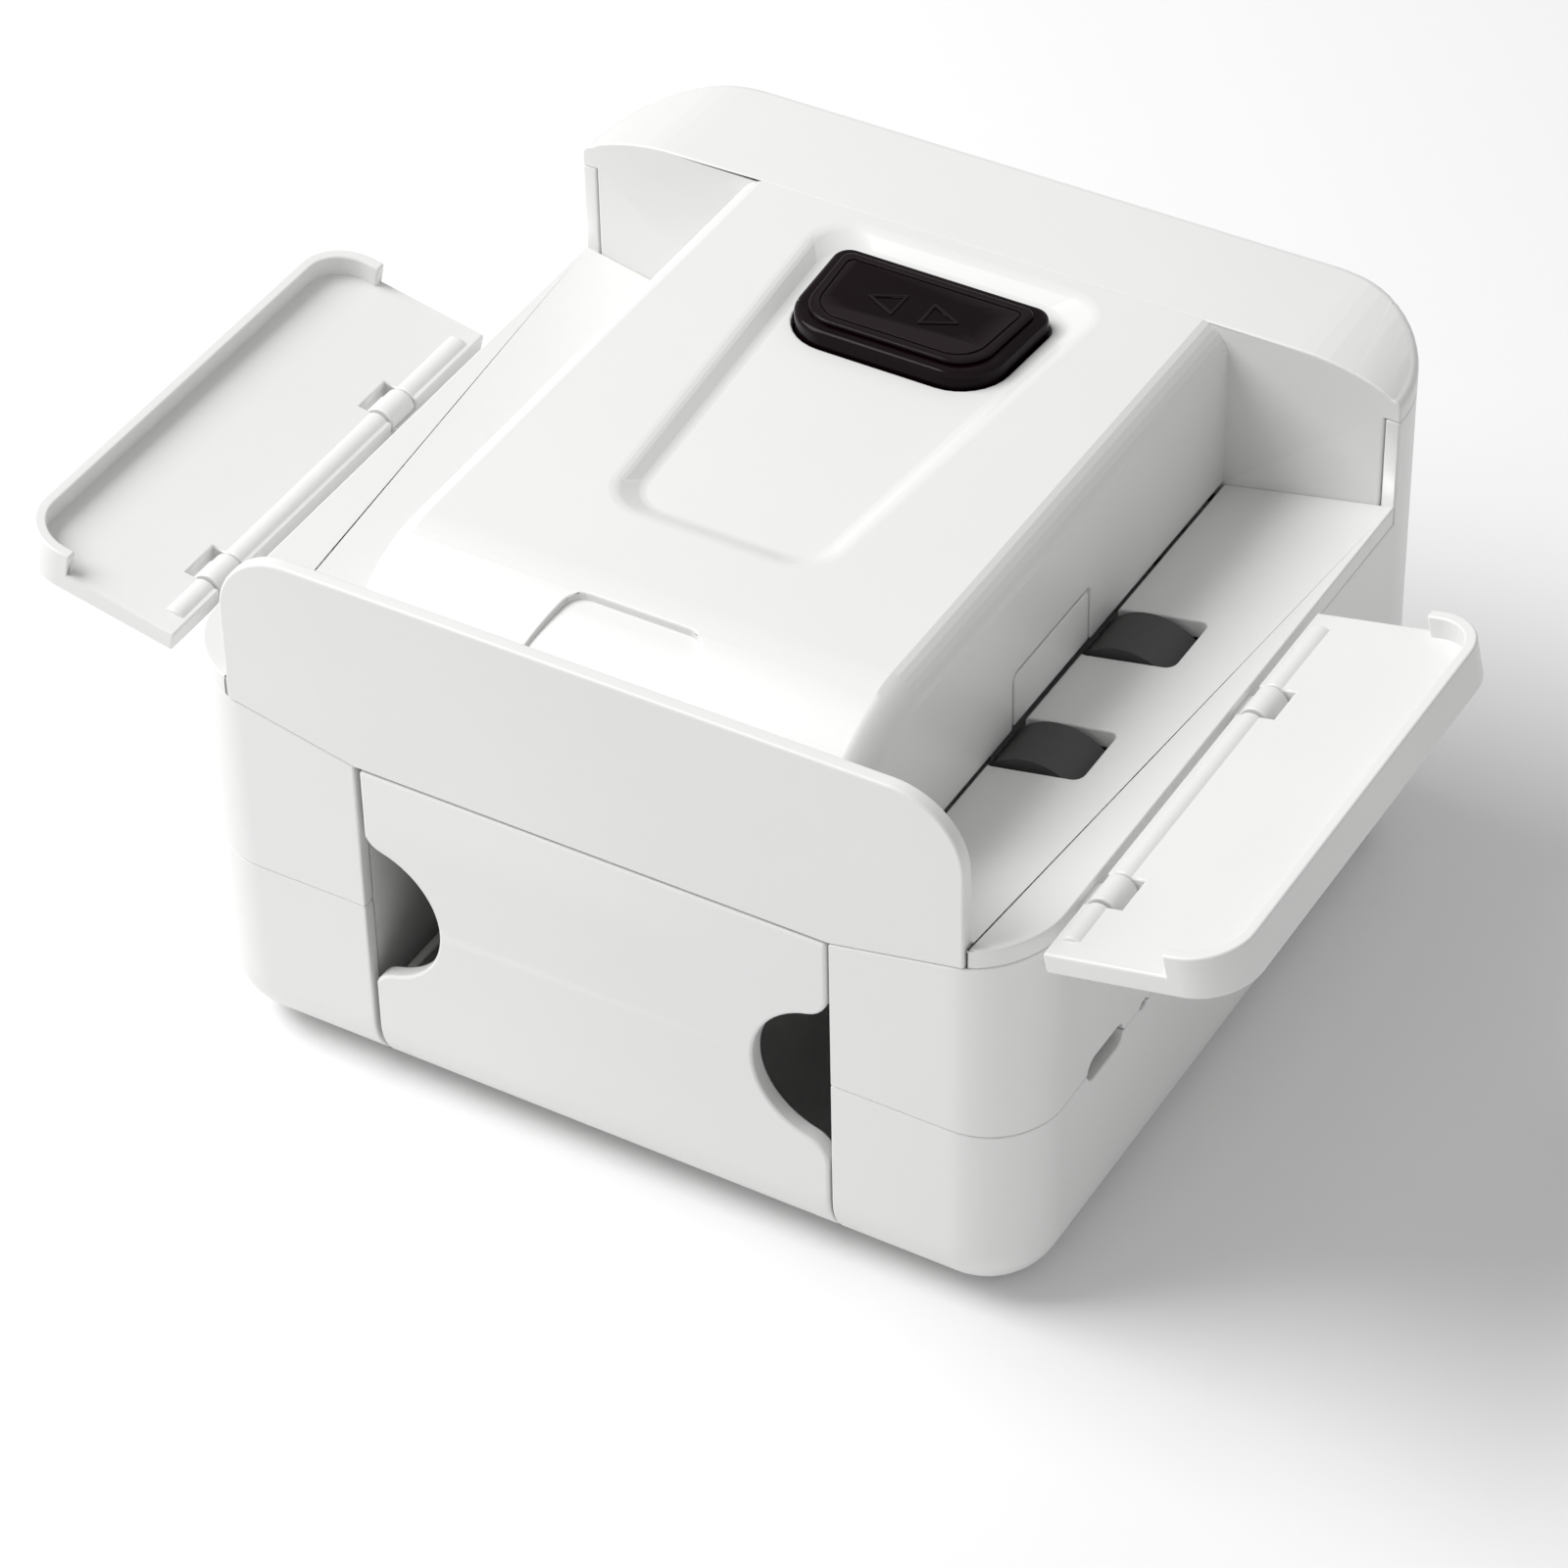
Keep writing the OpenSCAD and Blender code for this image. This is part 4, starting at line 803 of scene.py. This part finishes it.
def makeWing(side):
    long, wide, thick = wingShape["long"], wingShape["wide"], case["shelfThick"]
    root, wall, corner = wingShape["root"], wingShape["lipThick"], wingShape["corner"]
    plate = [(root, 0), (long, 0), (long, wide), (root, wide)]
    obj = asObject(prism(plate, -thick / 2, thick / 2 + wingShape["lip"], "z", {1: corner, 2: corner}, 10))
    well = [(-6, wall), (long - wall, wall), (long - wall, wide - wall), (-6, wide - wall)]
    cut(obj, prism(well, thick / 2, 20, "z", {1: corner - wall, 2: corner - wall}, 10))
    for low, high in ((-3, wall + 0.5), (wide - wall - 0.5, wide + 3)):  # the lip ends square along both sides
        cut(obj, prism([(-8, low), (long - wingShape["lipReach"], low), (long - wingShape["lipReach"], high),
                        (-8, high)], thick / 2, 20, "z"))
    inset, room, pin = wingShape["barrelIn"], wingShape["lugRoom"], wingShape["pinIn"]
    join(obj, rod("y", (0, 0), wingShape["barrel"], inset, wide - inset, 28))
    front = case["front"] + lugShape["wingFront"]
    for y in lugPlaces:
        middle = y - front
        cut(obj, box(-5, 3, middle - room, middle + room, -6, 6))
    cut(obj, rod("y", (0, 0), wingShape["pinHole"], pin, wide - pin, 24))

    def place(bm):
        bmesh.ops.rotate(bm, cent=(0, 0, 0), matrix=Matrix.Rotation(-case["shelfAngle"], 3, "Y"), verts=bm.verts[:])
        bmesh.ops.translate(bm, vec=(hingeX, front, hingeZ), verts=bm.verts[:])
        if side < 0:
            mirrored(bm)

    reshape(obj, place)
    name = ("left", "", "right")[side + 1]
    return finishPiece(obj, name + "_fold_wing", name + "_wing", [name + "_wing"], finish["white"], 0.35,
                       3)


# drawer front and tray
drawerShape = {"round": 9, "thick": 2.4, "notch": 10.4, "blend": 3.5, "notchZ": 28.9, "leftGap": 0.35, "lift": 1.5}


def arc(x, z, radius, start, end, steps):
    turns = [math.radians(start + (end - start) * i / steps) for i in range(steps + 1)]
    return [(x + radius * math.cos(t), z + radius * math.sin(t)) for t in turns]


def notchOutline(side):  # half circle in from the drawer's side, flared where it meets the side
    notch, blend, z, edge = drawerShape["notch"], drawerShape["blend"], drawerShape["notchZ"], drawerHigh[0]
    rise = math.sqrt((notch + blend) ** 2 - blend ** 2)
    turn = math.degrees(math.atan2(rise, blend))
    top = arc(-blend, rise, blend, 0, -turn, 6)
    bowl = arc(0, 0, notch, 180 - turn, 180 + turn, 26)
    bottom = [(x, -v) for x, v in reversed(top)]
    shape = [(3, rise)] + top + bowl[1:-1] + bottom + [(3, -rise)]
    return [(side * (edge + x), z + v) for x, v in shape]


def makeDrawerFront():
    x, front, bottom, top = drawerHigh[0], case["front"], case["bottom"], drawerHigh[2]
    thick, around = drawerShape["thick"], drawerShape["round"]
    section = [(front, top), (front, bottom), (front + 10, bottom), (front + 10, bottom + thick),
               (front + thick, bottom + thick), (front + thick, top)]
    obj = asObject(prism(section, drawerShape["leftGap"] - x, x, "x", {1: around, 4: around - thick}, 12))
    cut(obj, box(-40, 40, front - 1, front + 12, 0, bottom + drawerShape["lift"]),
        prism(notchOutline(-1), front - 1, front + 12, "y"), prism(notchOutline(1), front - 1, front + 12, "y"))
    return finishPiece(obj, "drawer_face", "drawer", ["drawer_front"], finish["white"], 0.45, 3)


trayShape = {"wall": 1.4, "round": 2.0, "frontStep": 7, "notchRoom": 14, "notchDeep": 17, "fingerHole": 9,
             "holeFromBack": 12}


def makeDrawerTray():
    low, high = span("drawer_tray")
    half, wall = high[0], trayShape["wall"]
    bm = box(-half, half, low[1], high[1], low[2], high[2])
    bevelWhere(bm, lambda e: ends(e, lambda c: c.y > high[1] - 0.01 and c.z < high[2] - 0.01) or
               ends(e, lambda c: abs(c.x) > half - 0.01 and c.y > high[1] - 0.01), trayShape["round"], 5)
    openSides = [f for f in bm.faces if f.normal.z > 0.9 or f.normal.y < -0.9]
    bmesh.ops.delete(bm, geom=openSides, context="FACES_ONLY")
    obj = asObject(bm)
    hollow(obj, wall)
    edge = case["front"] + drawerShape["thick"]
    cut(obj, box(-40, 40, edge - 1, edge + trayShape["frontStep"], low[2] - 1, low[2] + 6))
    for side in (-1, 1):
        cut(obj, rod("y", (side * case["mouth"], drawerShape["notchZ"]), trayShape["notchRoom"], edge - 1,
                     edge + trayShape["notchDeep"], 64))
    cut(obj, rod("z", (0, high[1] - trayShape["holeFromBack"]), trayShape["fingerHole"], low[2] - 1, low[2] + 3, 48))
    return finishPiece(obj, "drawer_bin", "drawer", ["drawer_tray"], finish["tray"], 0.3)


# start button
def roundedButton(grow, low, high, fore, rear, flare=None):
    return prism(buttonOutline(grow), low, high, "z", {0: fore, 1: fore, 2: rear, 3: rear}, 10, flare)


def makeButton():
    low, high = span("button_cap")
    shape = buttonShape
    body = high[2] - shape["panelRise"]
    fore, rear = shape["fore"], shape["rear"]
    bm = roundedButton(0, low[2] + 0.5, body, fore, rear)
    bevelWhere(bm, lambda e: ends(e, lambda c: c.z > body - 0.001), 0.8, 5)
    obj = asObject(bm)
    flange, line = shape["flange"], shape["lineInset"]
    join(obj, roundedButton(flange, low[2], low[2] + 1, fore + flange, rear + flange))
    panel = roundedButton(-shape["panelInset"], body - 0.6, high[2], fore - 1.4, rear - 1.0)
    bevelWhere(panel, lambda e: ends(e, lambda c: c.z > high[2] - 0.001), 0.35, 3)
    join(obj, panel)
    groove = asObject(roundedButton(-line, high[2] - shape["lineDepth"], high[2] + 1, fore - 2.2, rear - 1.4))
    cut(groove, roundedButton(-line - shape["lineWidth"], high[2] - 1, high[2] + 2, fore - 2.4, rear - 1.5))
    cut(obj, groove)
    middle = (shape["back"][0] + shape["front"][0]) / 2
    reach = shape["arrow"]
    for side in (-1, 1):  # a plain pair of arrows, one to each card bay
        centre = side * shape["arrowOut"]
        outer = [(centre - side * reach, middle - reach), (centre + side * reach, middle),
                 (centre - side * reach, middle + reach)]
        inner = [(centre - side * (reach - 0.5), middle - reach + 0.85), (centre + side * (reach - 1.1), middle),
                 (centre - side * (reach - 0.5), middle + reach - 0.85)]
        ring = asObject(prism(outer, high[2] - 0.15, high[2] + shape["arrowRise"], "z", {0: 0.3, 1: 0.3, 2: 0.3}, 3))
        cut(ring, prism(inner, high[2] - 1, high[2] + 2, "z"))
        join(obj, ring)
    return finishPiece(obj, "start_button_cap", "start_button", ["button_cap"], finish["black"], 0.07, 2,
                       32)


# sprung card gates in the bridge walls
def makeGate(side):
    base, height = case["bridgeBase"], gateShape["height"]
    x, half = case["bridge"] - gateShape["sunk"], gateShape["half"]
    near, far = sorted((side * x, side * (x - gateShape["thick"])))
    obj = asObject(prism(gateOutline(), near, far, "x", {2: gateShape["corner"], 3: gateShape["corner"]}, 5))
    name = ("left", "", "right")[side + 1]
    low, high = span(name + "_gate")
    pinZ = base + height - 1
    join(obj, rod("y", (side * (case["bridge"] - 1), pinZ), 0.6, low[1], high[1], 20))
    return finishPiece(obj, name + "_card_gate", name + "_gate", [name + "_gate"], finish["white"], 0.2)


# feet
feetShape = {"radius": 6, "round": 0.35, "rim": 1.2, "dish": 0.25}


def makeFeet():
    low, high = span("feet")
    radius = feetShape["radius"]
    joined = bmesh.new()
    for x in (low[0] + radius, high[0] - radius):
        for y in (low[1] + radius, high[1] - radius):
            made = bmesh.ops.create_cone(joined, cap_ends=True, segments=48, radius1=radius, radius2=radius,
                                         depth=high[2] - low[2])["verts"]
            bmesh.ops.translate(joined, vec=(x, y, (low[2] + high[2]) / 2), verts=made)
    bevelWhere(joined, lambda e: ends(e, lambda c: c.z < low[2] + 0.01), feetShape["round"], 3)
    under = [f for f in joined.faces if f.normal.z < -0.9]
    bmesh.ops.inset_individual(joined, faces=under, thickness=feetShape["rim"], depth=0)
    bmesh.ops.inset_individual(joined, faces=under, thickness=feetShape["dish"], depth=-feetShape["dish"])
    obj = asObject(joined)
    return finishPiece(obj, "rubber_feet", "case", ["feet"], finish["rubber"], 0)


makeLowerCase()
makeUpperCase()
print("case shells made")
makeTopCover()
print("top moulding made")
makeFrontWall()
for side in (-1, 1):
    makeShelf(side)
    makeWing(side)
    makeGate(side)
print("shelves, wings and gates made")
makeDrawerFront()
makeDrawerTray()
print("drawer made")
makeButton()
makeFeet()
print("button and feet made")


# finishes of the working parts inside
insideFinish = {
    "steel": ["left_wing_pin", "right_wing_pin", "button_springs", "idler_posts", "compound_post", "motor_can",
              "motor_shaft", "left_shaft", "right_shaft", "usb_socket", "case_screws", "board_screws",
              "switch_screws", "motor_screws", "gearbox_screws"],
    "gear": ["idler_a", "idler_b", "compound_gear", "left_shaft_gear", "right_shaft_gear"],
    "brass": ["motor_pinion", "shaft_bushes"],
    "tray": ["left_frame", "right_frame", "gearbox_plate", "gear_cover"],
    "white": ["left_wheel_hubs", "right_wheel_hubs", "motor_cap"],
    "rubber": ["left_tyres", "right_tyres"],
    "board": ["main_board", "switch_board"],
    "dark": ["switch_plunger", "switch_body", "battery_cradle", "board_chips"],
    "wrap": ["battery_cell"],
    "led": ["charge_led"],
    "red": ["battery_lead"],
    "yellow": ["motor_lead"],
    "blue": ["switch_lead"],
}
for label, names in insideFinish.items():
    for name in names:
        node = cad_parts[name]
        if not node.material_slots:
            node.data.materials.append(finish[label])
        for place in node.material_slots:
            place.material = finish[label]
print("inner parts finished")


# floor and light
studio = {"floor": 3.0, "sky": 0.45, "key": 10.4, "keySize": 0.7}


def makeFloor():
    bm = bmesh.new()
    bmesh.ops.create_grid(bm, x_segments=2, y_segments=2, size=studio["floor"])
    floor = asObject(bm, "floor")
    material, tree, shader = newMaterial("paleFloor")
    shader.inputs["Roughness"].default_value = 0.9
    shader.inputs["Specular IOR Level"].default_value = 0.0
    shader.inputs["Base Color"].default_value = (0.93, 0.93, 0.93, 1)
    floor.data.materials.append(material)


def addSoftbox(name, place, size, power, colour=(1, 1, 1)):
    lamp = bpy.data.lights.new(name, "AREA")
    lamp.shape = "SQUARE"
    lamp.size = size
    lamp.energy = power
    lamp.color = colour
    obj = bpy.data.objects.new(name, lamp)
    scene.collection.objects.link(obj)
    obj.location = place
    obj.rotation_mode = "QUATERNION"
    obj.rotation_quaternion = (Vector((0, 0, 0.04)) - Vector(place)).to_track_quat("-Z", "Y")


world = bpy.data.worlds.new("studio")
scene.world = world
scene.view_settings.view_transform = "Standard"
world.use_nodes = True
world.node_tree.nodes["Background"].inputs["Color"].default_value = (1, 1, 1, 1)
world.node_tree.nodes["Background"].inputs["Strength"].default_value = studio["sky"]
makeFloor()
addSoftbox("keyLight", (-0.62, -0.24, 0.82), studio["keySize"], studio["key"])
print("floor and light ready")
